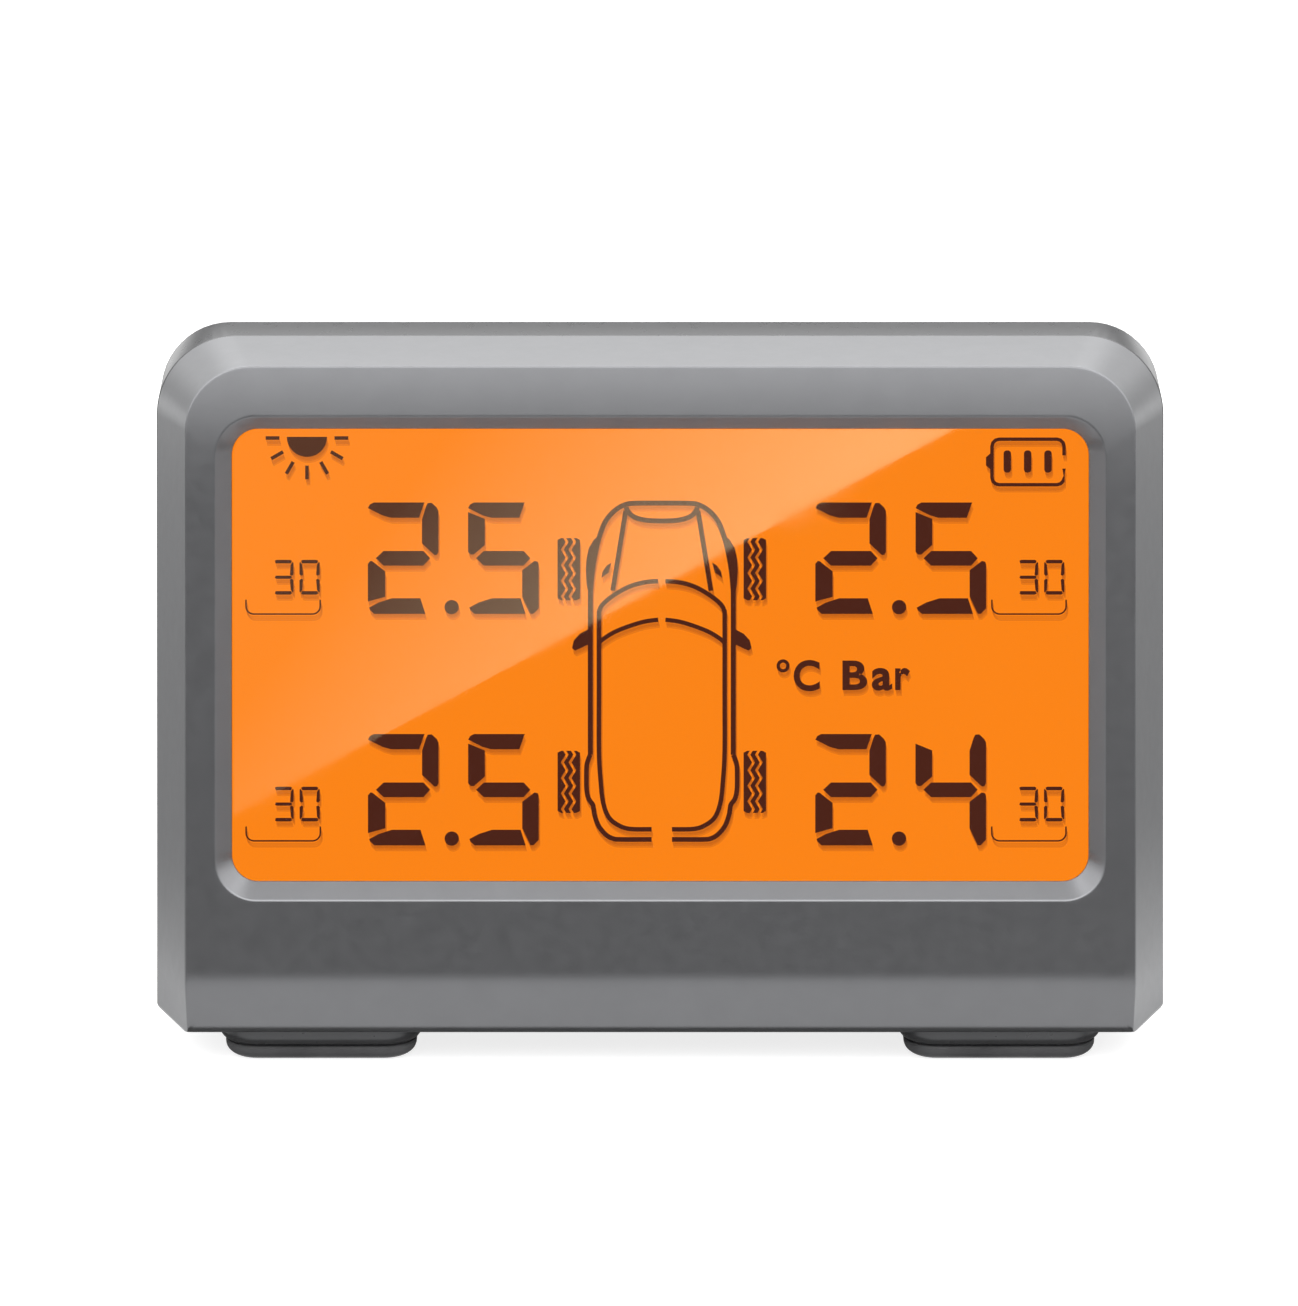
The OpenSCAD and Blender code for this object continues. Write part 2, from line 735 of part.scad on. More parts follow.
// Depths that the button stack shares, front to back
cap_y0 = inner_rear_y - flange_gap - flange_t;
plunger_y0 = key_back_y + switch_h - 2 + button_travel + 0.2;

module plunger_at(x) {
  color("dimgray") translate([x, plunger_y0, button_z]) rotate([-90, 0, 0])
    cylinder(r = plunger_r, h = cap_y0 - plunger_y0);
}
module button_at(x) {
  color("darkslategray") translate([x, 0, button_z]) {
    translate([0, cap_y0 + flange_t, 0]) rotate([90, 0, 0]) pill(button_w + 1.6, button_h + 1.6, flange_t);
    translate([0, rear_y + button_proud, 0]) rotate([90, 0, 0])
      pill(button_w, button_h, rear_y + button_proud - cap_y0 - flange_t / 2);
  }
}
module minus_plunger() { plunger_at(button_pitch); }
module set_plunger() { plunger_at(0); }
module plus_plunger() { plunger_at(-button_pitch); }
module minus_button() { button_at(button_pitch); }
module set_button() { button_at(0); }
module plus_button() { button_at(-button_pitch); }

module usb_shell() {
  l = rear_y - key_back_y - 0.2;
  color("silver") translate([usb_x, key_back_y + l, button_z]) rotate([90, 0, 0]) difference() {
    pill(usb_w, usb_h, l);
    translate([0, 0, -1]) pill(usb_w - 2 * usb_wall, usb_h - 2 * usb_wall, l);
  }
}
module usb_tongue() {
  color("black") translate([usb_x - 3.3, key_back_y + 1.1, button_z - 0.35]) cube([6.6, 4.6, 0.7]);
}
module buzzer() {
  color("black") translate([buzzer_x, key_back_y, button_z]) rotate([-90, 0, 0]) difference() {
    cylinder(r = buzzer_r, h = buzzer_h);
    translate([0, 0, buzzer_h - 0.8]) cylinder(r = 1, h = 2);
  }
}

// Side view of the flat cable between the two boards
function cable_path() = smooth([
  [world_y(17, board_back + 1), world_z(17, board_back + 1)],
  [world_y(21.5, board_back + 1.1), world_z(21.5, board_back + 1.1)],
  [-5.5, 25.2], [1, 26], [8, 24], [12.6, 20.6], [13.9, 17], [14.15, 14]], 3);
function cable_side(path, i) =
  let (t = unit(path[min(i + 1, len(path) - 1)] - path[max(i - 1, 0)])) 0.12 * [-t[1], t[0]];
module ribbon_cable() {
  p = cable_path();
  n = len(p);
  color("white") translate([-4, 0, 0]) rotate([90, 0, 90]) linear_extrude(8) polygon(concat(
    [for (i = [0:n - 1]) p[i] + cable_side(p, i)],
    [for (i = [n - 1:-1:0]) p[i] - cable_side(p, i)]));
}
module ribbon_sockets() {
  color("ivory") {
    on_face() translate([-5.5, 14.6, -board_back - 2]) difference() {
      cube([11, 4.4, 2]);
      translate([1.3, 1.4, 0.6]) cube([8.4, 4, 0.8]);
    }
    translate([-5.5, key_board_y - 2, 11.8]) difference() {
      cube([11, 2, 4.4]);
      translate([1.3, 0.35, 1.4]) cube([8.4, 1, 4]);
    }
  }
}

// ---------- solar panel ----------

module solar_layer(z, t, gap) {
  on_slope() solar_pocket(-gap, z - t, z);
}
module solar_cover() { color("white", 0.35) solar_layer(cover_z, cover_t, solar_gap); }
module solar_cells() {
  w = (solar_w - 2 * solar_margin - (cell_count - 1) * cell_gap) / cell_count;
  color("midnightblue") on_slope() for (i = [0:cell_count - 1])
    translate([-solar_w / 2 + solar_margin + i * (w + cell_gap), solar_d0 + solar_margin,
               cover_z - cover_t - cell_t])
      cube([w, solar_h - 2 * solar_margin, cell_t]);
}
module solar_backing() { color("black") solar_layer(cover_z - cover_t - cell_t, backing_t, solar_gap); }
module solar_tape() {
  color("gray") difference() {
    solar_layer(pocket_z + solar_tape_t, solar_tape_t, 1);
    on_slope() translate([lead_x - 3, lead_d - 3, pocket_z - 1]) cube([6, 6, 3]);
  }
}

// ---------- feet and case screws ----------

module foot_pad() {
  inset = foot_taper + pad_side + 0.1;
  color("black") translate([foot_x, foot_y0 + foot_l / 2, 0]) hull() {
    linear_extrude(0.1) offset_box(-inset - pad_round);
    translate([0, 0, 0.3]) linear_extrude(0.1) offset_box(-inset - 0.3);
    translate([0, 0, 0.8]) linear_extrude(pad_show + pad_key - 0.8) offset_box(-inset);
  }
}
module left_foot_pad() { mirror([1, 0, 0]) foot_pad(); }
module right_foot_pad() { foot_pad(); }
module case_screws() {
  color("silver") for (s = [-1, 1])
    translate([s * case_screw_x, case_seat_y, case_screw_z]) rotate([90, 0, 0])
      screw(case_screw, case_screw_l);
}

front_bezel();
rear_shell();
lens_adhesive();
display_lens();
lcd_gasket();
front_polarizer();
lcd_front_glass();
lcd_rear_glass();
rear_polarizer();
diffuser_film();
light_guide();
reflector_film();
backlight_frame();
backlight_leds();
zebra_strip();
main_board();
microcontroller();
radio_receiver();
crystal();
chip_components();
power_inductor();
antenna_coil();
vibration_sensor();
battery_socket();
battery_plug();
battery_leads();
battery_cell();
battery_tape();
solar_socket();
solar_plug();
solar_leads();
main_board_screws();
key_board();
key_board_screws();
ribbon_cable();
ribbon_sockets();
tact_switches();
minus_plunger();
set_plunger();
plus_plunger();
minus_button();
set_button();
plus_button();
usb_shell();
usb_tongue();
buzzer();
solar_tape();
solar_backing();
solar_cells();
solar_cover();
left_foot_pad();
right_foot_pad();
case_screws();
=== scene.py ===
"""Studio scene of the solar tyre pressure display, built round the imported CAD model."""
import json
import math

import bmesh
import bpy
from mathutils import Matrix, Vector


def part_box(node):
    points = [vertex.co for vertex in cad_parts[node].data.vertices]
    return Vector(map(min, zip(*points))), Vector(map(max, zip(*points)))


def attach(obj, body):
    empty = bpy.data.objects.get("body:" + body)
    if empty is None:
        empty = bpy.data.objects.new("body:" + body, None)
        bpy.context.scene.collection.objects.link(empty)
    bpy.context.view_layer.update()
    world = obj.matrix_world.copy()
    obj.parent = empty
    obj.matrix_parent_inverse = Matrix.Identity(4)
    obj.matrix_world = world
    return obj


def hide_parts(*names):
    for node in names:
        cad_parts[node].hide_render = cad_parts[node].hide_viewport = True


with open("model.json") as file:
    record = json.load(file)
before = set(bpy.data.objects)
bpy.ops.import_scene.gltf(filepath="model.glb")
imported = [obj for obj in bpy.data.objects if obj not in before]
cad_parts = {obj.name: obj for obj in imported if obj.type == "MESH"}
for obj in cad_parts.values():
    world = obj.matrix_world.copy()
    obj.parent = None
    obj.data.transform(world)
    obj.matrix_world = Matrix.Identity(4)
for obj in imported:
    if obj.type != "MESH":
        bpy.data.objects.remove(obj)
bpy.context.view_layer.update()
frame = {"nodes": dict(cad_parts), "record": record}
MM = 0.001
rad = math.radians

# ---------------------------------------------------------------- dimensions, mm
# Those of part.scad, apart from the ones that a comment calls drawn
TILT = rad(15)
# The drawn chin runs this much further down than the CAD's, before its bottom edge is rounded
CHIN_DROP = 0.45
FACE_W, FACE_H = 79.0, 55.4 + CHIN_DROP
SKIRT_D, SKIRT_RISE = 8.3, 3.1
BODY_W = 85.0
FACE_R, BODY_R = 5.4, 6.7
CHIN_H, CHIN_R, CHIN_TURN = 5.2 + CHIN_DROP, 5.0, rad(30)
# The drawn face rolls back above this height, to this slope at its top edge
CROWN_V, CROWN_TURN = 46.0 + CHIN_DROP, math.tan(rad(7.5))
VIEW_W, VIEW_H, VIEW_V = 71.4, 37.7, 31.4 + CHIN_DROP
RECESS_W, RECESS_H, RECESS_D = 74.0, 40.2, 1.3
WALL = 1.8
ROOF_D, KNEE_Z, EDGE_R = 5.1, 26.0, 3.0
ROOF_HALF_W, ROOF_R, REAR_HALF_W = 42.5, 6.0, 40.5
# The rear edge of the drawn roof is sharper than the CAD's
ROOF_EDGE_R = 1.7
SOLAR_W, SOLAR_H, SOLAR_R = 68.0, 30.4, 2.5
BUTTON_W, BUTTON_H, BUTTON_PITCH, BUTTON_Z = 12.0, 5.4, 16.0, 17.5
BUTTON_GAP = 0.2
FOOT_W, FOOT_X, FOOT_L, FOOT_R, FOOT_SETBACK = 17.0, 28.5, 42.0, 3.2, 1.6
PAD_SHOW, REAR_BASE_Z = 1.35, 3.1
# The drawn belly starts lower at the front, and rises to the CAD's height at the back
BASE_Z = REAR_BASE_Z - CHIN_DROP * (math.cos(TILT) + math.tan(CHIN_TURN) * math.sin(TILT))
BELLY_RISE = rad(2.7)

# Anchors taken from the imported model, mm
FRONT_Y = (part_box("front_bezel")[0] / MM).y
button_lo, button_hi = (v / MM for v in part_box("set_button"))
usb_lo, usb_hi = (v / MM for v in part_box("usb_shell"))
buzzer_lo, buzzer_hi = (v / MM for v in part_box("buzzer"))
screw_lo, screw_hi = (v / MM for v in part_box("case_screws"))
USB_SUNK, SCREW_HEAD_R = 0.2, 2.1
REAR_Y = usb_hi.y + USB_SUNK
USB_X = (usb_lo.x + usb_hi.x) / 2
BUZZER_X = (buzzer_lo.x + buzzer_hi.x) / 2
SCREW_X, SCREW_Z = screw_hi.x - SCREW_HEAD_R, (screw_lo.z + screw_hi.z) / 2

# ---------------------------------------------------------------- frames
CHIN_END_V = CHIN_H - CHIN_R * math.sin(CHIN_TURN)
CHIN_END_W = CHIN_R * (1 - math.cos(CHIN_TURN))
CORNER_W = CHIN_END_W + CHIN_END_V * math.tan(CHIN_TURN)
NOSE_Y = ((CHIN_H - CHIN_R * math.sin(TILT)) * math.sin(TILT)
          + CHIN_R * (1 - math.cos(TILT)) * math.cos(TILT))
ORIGIN_Y = FRONT_Y - NOSE_Y
ORIGIN_Z = BASE_Z + CORNER_W * math.sin(TILT)
SKIRT_TOP = FACE_H + SKIRT_RISE
# The drawn parting line dips a little below the roof behind it
PART_TOP = SKIRT_TOP - 0.16


def face(u, v, w):
    """A point across, up and behind the face, in metres in the row frame."""
    return Vector((u, ORIGIN_Y + v * math.sin(TILT) + w * math.cos(TILT),
                   ORIGIN_Z + v * math.cos(TILT) - w * math.sin(TILT))) * MM


FACE_M = Matrix((
    (1, 0, 0, 0),
    (0, math.sin(TILT), -math.cos(TILT), ORIGIN_Y * MM),
    (0, math.cos(TILT), math.sin(TILT), ORIGIN_Z * MM),
    (0, 0, 0, 1)))


def base_v(w):
    """Height on the face of the bezel's underside, which rises a little towards the back."""
    return (w - CORNER_W) * math.tan(TILT + BELLY_RISE)


def chin_w(v):
    """How far the face has bent back at height v: a slight roll at the top, the bend of the chin."""
    if v >= CHIN_H:
        return CROWN_TURN * max(0.0, v - CROWN_V) ** 2 / (2 * (FACE_H - CROWN_V))
    s = (CHIN_H - v) / CHIN_R
    if s <= math.sin(CHIN_TURN):
        return CHIN_R * (1 - math.sqrt(1 - s * s))
    return CHIN_END_W + (CHIN_END_V - v) * math.tan(CHIN_TURN)


ROOF_Z = face(0, SKIRT_TOP, SKIRT_D).z / MM
ROOF_END_Y = face(0, SKIRT_TOP, SKIRT_D).y / MM + ROOF_D
KNEE_Y = REAR_Y - EDGE_R
SLOPE_RUN, SLOPE_DROP = KNEE_Y - ROOF_END_Y, ROOF_Z - KNEE_Z
SLOPE_A = math.atan2(SLOPE_DROP, SLOPE_RUN) - math.asin(EDGE_R / math.hypot(SLOPE_RUN, SLOPE_DROP))
SLOPE_L = SLOPE_RUN * math.cos(SLOPE_A) + SLOPE_DROP * math.sin(SLOPE_A)
SLOPE_M = Matrix.Translation((0, ROOF_END_Y * MM, ROOF_Z * MM)) @ Matrix.Rotation(-SLOPE_A, 4, "X")
# The middle of the solar pocket is a little further down than the slope's own middle
SOLAR_D = SLOPE_L / 2 + 0.4
SOLAR_M = SLOPE_M @ Matrix.Translation((0, SOLAR_D * MM, 0))
# x to the right for someone behind the object, y up, z out of the rear wall
REAR_M = Matrix(((-1, 0, 0, 0), (0, 0, 1, REAR_Y * MM), (0, 1, 0, 0), (0, 0, 0, 1)))


# ---------------------------------------------------------------- mesh helpers
def add_mesh(name, verts, faces, material, smooth=40.0):
    """An object of those vertices and faces, with all its normals outwards."""
    me = bpy.data.meshes.new(name)
    me.from_pydata([tuple(v) for v in verts], [], faces)
    me.validate()
    bm = bmesh.new()
    bm.from_mesh(me)
    bmesh.ops.recalc_face_normals(bm, faces=bm.faces)
    bm.to_mesh(me)
    bm.free()
    return finish_mesh(name, me, material, smooth)


def finish_mesh(name, me, material, smooth=40.0):
    """An object of that mesh, smooth across edges under the angle."""
    me.materials.clear()
    me.materials.append(material)
    if smooth:
        me.shade_smooth()
        me.set_sharp_from_angle(angle=rad(smooth))
    ob = bpy.data.objects.new(name, me)
    bpy.context.scene.collection.objects.link(ob)
    return ob


def settle(ob):
    """Applies the object's modifiers to its mesh."""
    graph = bpy.context.evaluated_depsgraph_get()
    me = bpy.data.meshes.new_from_object(ob.evaluated_get(graph))
    ob.modifiers.clear()
    old = ob.data
    ob.data = me
    bpy.data.meshes.remove(old)


def cut(ob, cutters, operation="DIFFERENCE"):
    """Boolean of the object with each cutter, which is then thrown away."""
    for c in cutters:
        m = ob.modifiers.new("cut", "BOOLEAN")
        m.operation, m.solver, m.object = operation, "EXACT", c
        settle(ob)
        me = c.data
        bpy.data.objects.remove(c)
        bpy.data.meshes.remove(me)


def weighted(ob, angle=40.0):
    """Keeps flat faces flat beside small rounds."""
    ob.data.shade_smooth()
    ob.data.set_sharp_from_angle(angle=rad(angle))
    m = ob.modifiers.new("normals", "WEIGHTED_NORMAL")
    m.keep_sharp, m.weight = True, 80


def arc(cx, cy, r, a0, a1, n):
    """Points on a circle from angle a0 to a1, in degrees, in n steps."""
    angles = [rad(a0 + (a1 - a0) * i / n) for i in range(n + 1)]
    return [(cx + r * math.cos(a), cy + r * math.sin(a)) for a in angles]


def circle(cx, cy, r, n):
    """A closed ring of n points."""
    return arc(cx, cy, r, 0, 360, n)[:-1]


def box_outline(hw, y0, y1, r_low, r_high, n=12, sides=1, lift=1.0):
    """Rounded rectangle from [-hw, y0] to [hw, y1], anticlockwise from the bottom right.

    Each upright side has that many parts, which get shorter towards the bottom where lift is over 1.
    """
    pts = []

    def side(b):
        a = pts[-1]
        for i in range(1, sides):
            t = i / sides
            t = t ** lift if b[1] > a[1] else 1 - (1 - t) ** lift
            pts.append((a[0] + (b[0] - a[0]) * t, a[1] + (b[1] - a[1]) * t))

    pts += arc(hw - r_low, y0 + r_low, r_low, -90, 0, n)
    side((hw, y1 - r_high))
    pts += arc(hw - r_high, y1 - r_high, r_high, 0, 90, n)
    pts += arc(r_high - hw, y1 - r_high, r_high, 90, 180, n)
    side((-hw, y0 + r_low))
    pts += arc(r_low - hw, y0 + r_low, r_low, 180, 270, n)
    return pts


NEARLY_STRAIGHT = rad(89.5)


def round_corner(a, b, c, r, n):
    """Points of a fillet of radius r at corner b of the path a, b, c."""
    d0, d1 = a - b, c - b
    l0, l1 = d0.length, d1.length
    d0, d1 = d0 / l0, d1 / l1
    half = d0.angle(d1) / 2
    if half > NEARLY_STRAIGHT:
        return [b.copy() for _ in range(n + 1)]
    t = min(r / math.tan(half), 0.45 * l0, 0.45 * l1)
    r = t * math.tan(half)
    centre = b + (d0 + d1).normalized() * (r / math.sin(half))
    s, e = b + d0 * t - centre, b + d1 * t - centre
    sweep = s.angle(e)
    return [centre + (s * math.sin((1 - i / n) * sweep) + e * math.sin(i / n * sweep)) / math.sin(sweep)
            for i in range(n + 1)]


def loft(rings, wrap=False, cap=False):
    """Vertices and faces through closed rings of equal length, back to the first one if it wraps."""
    n = len(rings[0])
    verts = [p for ring in rings for p in ring]
    faces = []
    last = len(rings) if wrap else len(rings) - 1
    for i in range(last):
        a0, b0 = i * n, ((i + 1) % len(rings)) * n
        for j in range(n):
            k = (j + 1) % n
            faces.append((a0 + j, a0 + k, b0 + k, b0 + j))
    if cap:
        faces.append(tuple(range(n))[::-1])
        faces.append(tuple(range((len(rings) - 1) * n, len(rings) * n)))
    return verts, faces


def placed(place, outline, z):
    """The outline's points at height z in the frame of a matrix, from mm to metres."""
    return [place @ (Vector((x, y, z)) * MM) for x, y in outline]


def prism(name, outline_at, levels, place, material, smooth=40.0):
    """A capped solid through outline_at(inset) at each (z, inset), in mm, placed by a matrix."""
    verts, faces = loft([placed(place, outline_at(inset), z) for z, inset in levels], cap=True)
    return add_mesh(name, verts, faces, material, smooth)


def plates(name, groups, place, material, smooth=0.0):
    """One mesh of flat plates. Each group is (outlines, z0, z1), in mm in the matrix's frame."""
    verts, faces = [], []
    for outlines, z0, z1 in groups:
        for shape in outlines:
            plate_verts, plate_faces = loft([placed(place, shape, z0), placed(place, shape, z1)], cap=True)
            faces += [tuple(len(verts) + k for k in f) for f in plate_faces]
            verts += plate_verts
    return add_mesh(name, verts, faces, material, smooth)


def quarter(z0, z1, inset0, inset1, n):
    """(z, inset) levels along a quarter round, in n steps."""
    angles = [rad(90 * i / n) for i in range(n + 1)]
    return [(z0 + (z1 - z0) * math.sin(a), inset0 + (inset1 - inset0) * (1 - math.cos(a))) for a in angles]


# Each of these three gives a function from an inset to the outline that far inside
def pill_outline(w, h, n=16):
    e = (w - h) / 2
    return lambda inset: (arc(e, 0.0, h / 2 - inset, -90, 90, n)
                          + arc(-e, 0.0, h / 2 - inset, 90, 270, n))


def rect_outline(w, h, r, n):
    def at(inset):
        corner = max(r - inset, 0.02)
        return box_outline(w / 2 - inset, inset - h / 2, h / 2 - inset, corner, corner, n)
    return at


def circle_outline(r, n=32):
    return lambda inset: circle(0.0, 0.0, r - inset, n)


def flared(outline_at, depth, lip, place):
    """Cutter for an opening with a rounded lip at z = 0, which reaches well above it."""
    levels = [(-depth, 0.0)] + quarter(-lip, 0.0, 0.0, -lip, 4) + [(2.0, -lip)]
    return prism("cutter", outline_at, levels, place, scrap)


# ---------------------------------------------------------------- materials
# Noise lies mostly between these two values
NOISE_LOW, NOISE_HIGH = 0.3, 0.7


def remap(tree, value, source, target):
    """A Map Range node from one (low, high) pair to another, which clamps at both ends."""
    n = tree.nodes.new("ShaderNodeMapRange")
    for key, v in zip(("From Min", "From Max", "To Min", "To Max"), source + target):
        n.inputs[key].default_value = v
    tree.links.new(value, n.inputs["Value"])
    return n.outputs["Result"]


class Nodes:
    """Small builder for a node material."""

    def __init__(self, name, color, roughness=0.5, metallic=0.0, specular=0.5):
        self.mat = bpy.data.materials.new(name)
        self.mat.use_nodes = True
        self.tree = self.mat.node_tree
        self.bsdf = self.tree.nodes["Principled BSDF"]
        self.mat.diffuse_color = (*color[:3], 1)
        self.set("Base Color", (*color[:3], 1))
        self.set("Roughness", roughness)
        self.set("Metallic", metallic)
        self.set("Specular IOR Level", specular)
        self.coords = None

    def set(self, socket, value):
        self.bsdf.inputs[socket].default_value = value
        return self

    def add(self, kind, **props):
        n = self.tree.nodes.new(kind)
        for k, v in props.items():
            if k.startswith("in_"):
                key = k[3:].replace("_", " ")
                n.inputs[key].default_value = v
            else:
                setattr(n, k, v)
        return n

    def link(self, a, b):
        self.tree.links.new(a, b)

    def position(self, scale):
        if self.coords is None:
            self.coords = self.add("ShaderNodeTexCoord")
        m = self.add("ShaderNodeMapping", in_Scale=scale)
        self.link(self.coords.outputs["Object"], m.inputs["Vector"])
        return m.outputs["Vector"]

    def noise(self, scale, detail=3.0, rough=0.5, stretch=(1, 1, 1)):
        n = self.add("ShaderNodeTexNoise", in_Scale=scale, in_Detail=detail, in_Roughness=rough)
        self.link(self.position(stretch), n.inputs["Vector"])
        return n.outputs["Fac"]

    def ramp(self, fac, stops):
        n = self.add("ShaderNodeValToRGB")
        el = n.color_ramp.elements
        for i, (pos, col) in enumerate(stops):
            e = el[i] if i < 2 else el.new(pos)
            e.position = pos
            e.color = (*col, 1) if len(col) == 3 else col
        self.link(fac, n.inputs["Fac"])
        return n.outputs["Color"]

    def vary_color(self, fac, dark, light):
        stops = [(NOISE_LOW, dark), (NOISE_HIGH, light)]
        self.link(self.ramp(fac, stops), self.bsdf.inputs["Base Color"])

    def vary_rough(self, fac, lo, hi):
        rough = remap(self.tree, fac, (NOISE_LOW, NOISE_HIGH), (lo, hi))
        self.link(rough, self.bsdf.inputs["Roughness"])

    def bump(self, fac, strength, distance):
        b = self.add("ShaderNodeBump", in_Strength=strength, in_Distance=distance)
        self.link(fac, b.inputs["Height"])
        self.link(b.outputs["Normal"], self.bsdf.inputs["Normal"])


def shade(color, k):
    """The colour, k times as bright."""
    return tuple(min(1.0, c * k) for c in color[:3])


def moulded(name, color, rough=0.42, metallic=0.0, specular=0.5, grain=2600.0, depth=0.00002,
            strength=0.25):
    """Moulded plastic: fine grain, faint flow clouding, slightly uneven gloss."""
    n = Nodes(name, color, rough, metallic, specular)
    n.vary_color(n.noise(400, 3), shade(color, 0.98), shade(color, 1.02))
    n.vary_rough(n.noise(900, 4), rough - 0.01, rough + 0.02)
    n.bump(n.noise(grain, 2, 0.6), strength, depth)
    return n.mat


def rubber(name, color):
    n = Nodes(name, color, 0.75, 0.0, 0.35)
    n.vary_color(n.noise(240, 4), shade(color, 0.8), shade(color, 1.25))
    n.vary_rough(n.noise(500, 3), 0.66, 0.84)
    n.bump(n.noise(3200, 3, 0.6), 0.35, 0.00004)
    return n.mat


def metal(name, color, rough=0.25, stretch=(1, 1, 14), scale=900.0):
    n = Nodes(name, color, rough, 1.0)
    streak = n.noise(scale, 3, 0.6, stretch)
    n.vary_color(n.noise(300, 3), shade(color, 0.88), shade(color, 1.05))
    n.vary_rough(streak, max(rough - 0.08, 0.05), rough + 0.12)
    n.bump(streak, 0.15, 0.00001)
    return n.mat


def clear(name, color, rough=0.02, ior=1.45, specular=0.5):
    n = Nodes(name, color, rough, 0.0, specular)
    n.set("Transmission Weight", 1.0).set("IOR", ior)
    n.vary_rough(n.noise(140, 3), rough, rough + 0.03)
    return n.mat


def glowing(name, color, light, strength):
    """Nodes of a surface that glows and has no shine."""
    n = Nodes(name, color, 0.4, specular=0.0)
    n.set("Emission Color", (*light, 1)).set("Emission Strength", strength)
    return n


# for cutters and other meshes that don't stay
scrap = bpy.data.materials.new("scrap")
CASING = (0.16, 0.162, 0.168)
case_mat = moulded("casing_grey", CASING, rough=0.31, metallic=0.9, specular=0.5, strength=0.12)
rear_mat = moulded("rear_grey", shade(CASING, 0.345), rough=0.28, metallic=0.6, specular=0.4,
                   strength=0.03)
button_mat = moulded("button_black", (0.018, 0.018, 0.02), rough=0.5, grain=3200, strength=0.3)
mark_mat = moulded("button_mark", (0.62, 0.62, 0.62), rough=0.5)
pad_mat = rubber("foot_rubber", (0.05, 0.05, 0.052))

# ---------------------------------------------------------------- front bezel
FACE_STEPS = 18
# The recess is lower on the face than the display by this much, so its lower bevel is the wider one
RECESS_DROP = 0.3
CORNER_STEPS, SIDE_STEPS, SIDE_LIFT = 14, 26, 1.7


def outline(hw, v0, v1, r_low, r_high):
    return box_outline(hw, v0, v1, r_low, r_high, CORNER_STEPS, SIDE_STEPS, SIDE_LIFT)


def bezel_rings():
    """Closed rings round the bezel: from the parting line over the skirt, face and recess, and back."""
    recess_v = VIEW_V - RECESS_DROP
    recess = outline(RECESS_W / 2, recess_v - RECESS_H / 2, recess_v + RECESS_H / 2, 3.4, 3.4)
    view = outline(VIEW_W / 2, VIEW_V - VIEW_H / 2, VIEW_V + VIEW_H / 2, 2.2, 2.2)
    front = outline(FACE_W / 2, 0.0, FACE_H, 0.35, FACE_R)
    part = outline(BODY_W / 2, base_v(SKIRT_D), PART_TOP, 0.6, BODY_R)
    inner = outline(BODY_W / 2 - WALL, base_v(SKIRT_D) + WALL, PART_TOP - WALL, 1.0, BODY_R - WALL)
    back = outline(FACE_W / 2 - WALL + 0.6, 6.6, FACE_H - WALL + 0.6, 1.0, FACE_R - WALL)
    columns = []
    for i, (fu, fv) in enumerate(front):
        p_front = face(fu, fv, chin_w(fv))
        p_part = face(*part[i], SKIRT_D)
        # 1 at the bottom edge, which is softer than the others, and 0 everywhere else
        bottom = 1.0 - min(1.0, max(0.0, (fv - 0.02) / 0.3))
        edge_r = 0.34 + 1.46 * bottom
        ru, rv = recess[i]
        p_rec = face(ru, rv, chin_w(rv))
        p_view = face(*view[i], RECESS_D)
        p_hole = face(*view[i], WALL)
        p_back = face(*back[i], WALL)
        p_inner = face(*inner[i], SKIRT_D)
        across = []
        for s in range(1, FACE_STEPS):
            # the steps end short of the bottom edge, where its round starts
            t = s / FACE_STEPS * (1 - 0.23 * bottom)
            u, v = ru + (fu - ru) * t, rv + (fv - rv) * t
            across.append(face(u, v, chin_w(v)))
        col = round_corner(p_inner, p_part, p_front, 0.22 * MM, 3)
        col += round_corner(p_part, p_front, across[-1], edge_r * MM, 6)
        col += across[::-1]
        col += round_corner(across[0], p_rec, p_view, 0.35 * MM, 4)
        col += round_corner(p_rec, p_view, p_hole, 0.12 * MM, 2)
        col += [p_hole, p_back, p_inner]
        columns.append(col)
    return [[c[k] for c in columns] for k in range(len(columns[0]))]


verts, faces = loft(bezel_rings(), wrap=True)
bezel = add_mesh("bezel", verts, faces, case_mat, 50)
weighted(bezel, 50)
settle(bezel)


def foot_outline(inset):
    """The right foot seen from above, that far inside its full outline."""
    front = FRONT_Y + FOOT_SETBACK
    r = FOOT_R - inset
    return [(x + FOOT_X, y) for x, y in
            box_outline(FOOT_W / 2 - inset, front + inset, front + FOOT_L - inset, r, r, 10)]


def mirrored(ob, name):
    """A copy of the object on the other side of the middle plane."""
    me = ob.data.copy()
    me.transform(Matrix.Diagonal((-1, 1, 1, 1)))
    me.flip_normals()
    other = bpy.data.objects.new(name, me)
    bpy.context.scene.collection.objects.link(other)
    return other


# ---------------------------------------------------------------- rear shell
def hull_object(name, points, material):
    """The convex hull of the points, with its nearly flat edges dissolved."""
    bm = bmesh.new()
    for p in points:
        bm.verts.new(p)
    bmesh.ops.remove_doubles(bm, verts=bm.verts, dist=0.000002)
    made = bmesh.ops.convex_hull(bm, input=bm.verts)
    spare = {g for g in made["geom_interior"] + made["geom_unused"] if isinstance(g, bmesh.types.BMVert)}
    bmesh.ops.delete(bm, geom=list(spare), context="VERTS")
    bmesh.ops.dissolve_limit(bm, angle_limit=rad(0.4), verts=bm.verts, edges=bm.edges)
    bmesh.ops.recalc_face_normals(bm, faces=bm.faces)
    me = bpy.data.meshes.new(name)
    bm.to_mesh(me)
    bm.free()
    return finish_mesh(name, me, material)


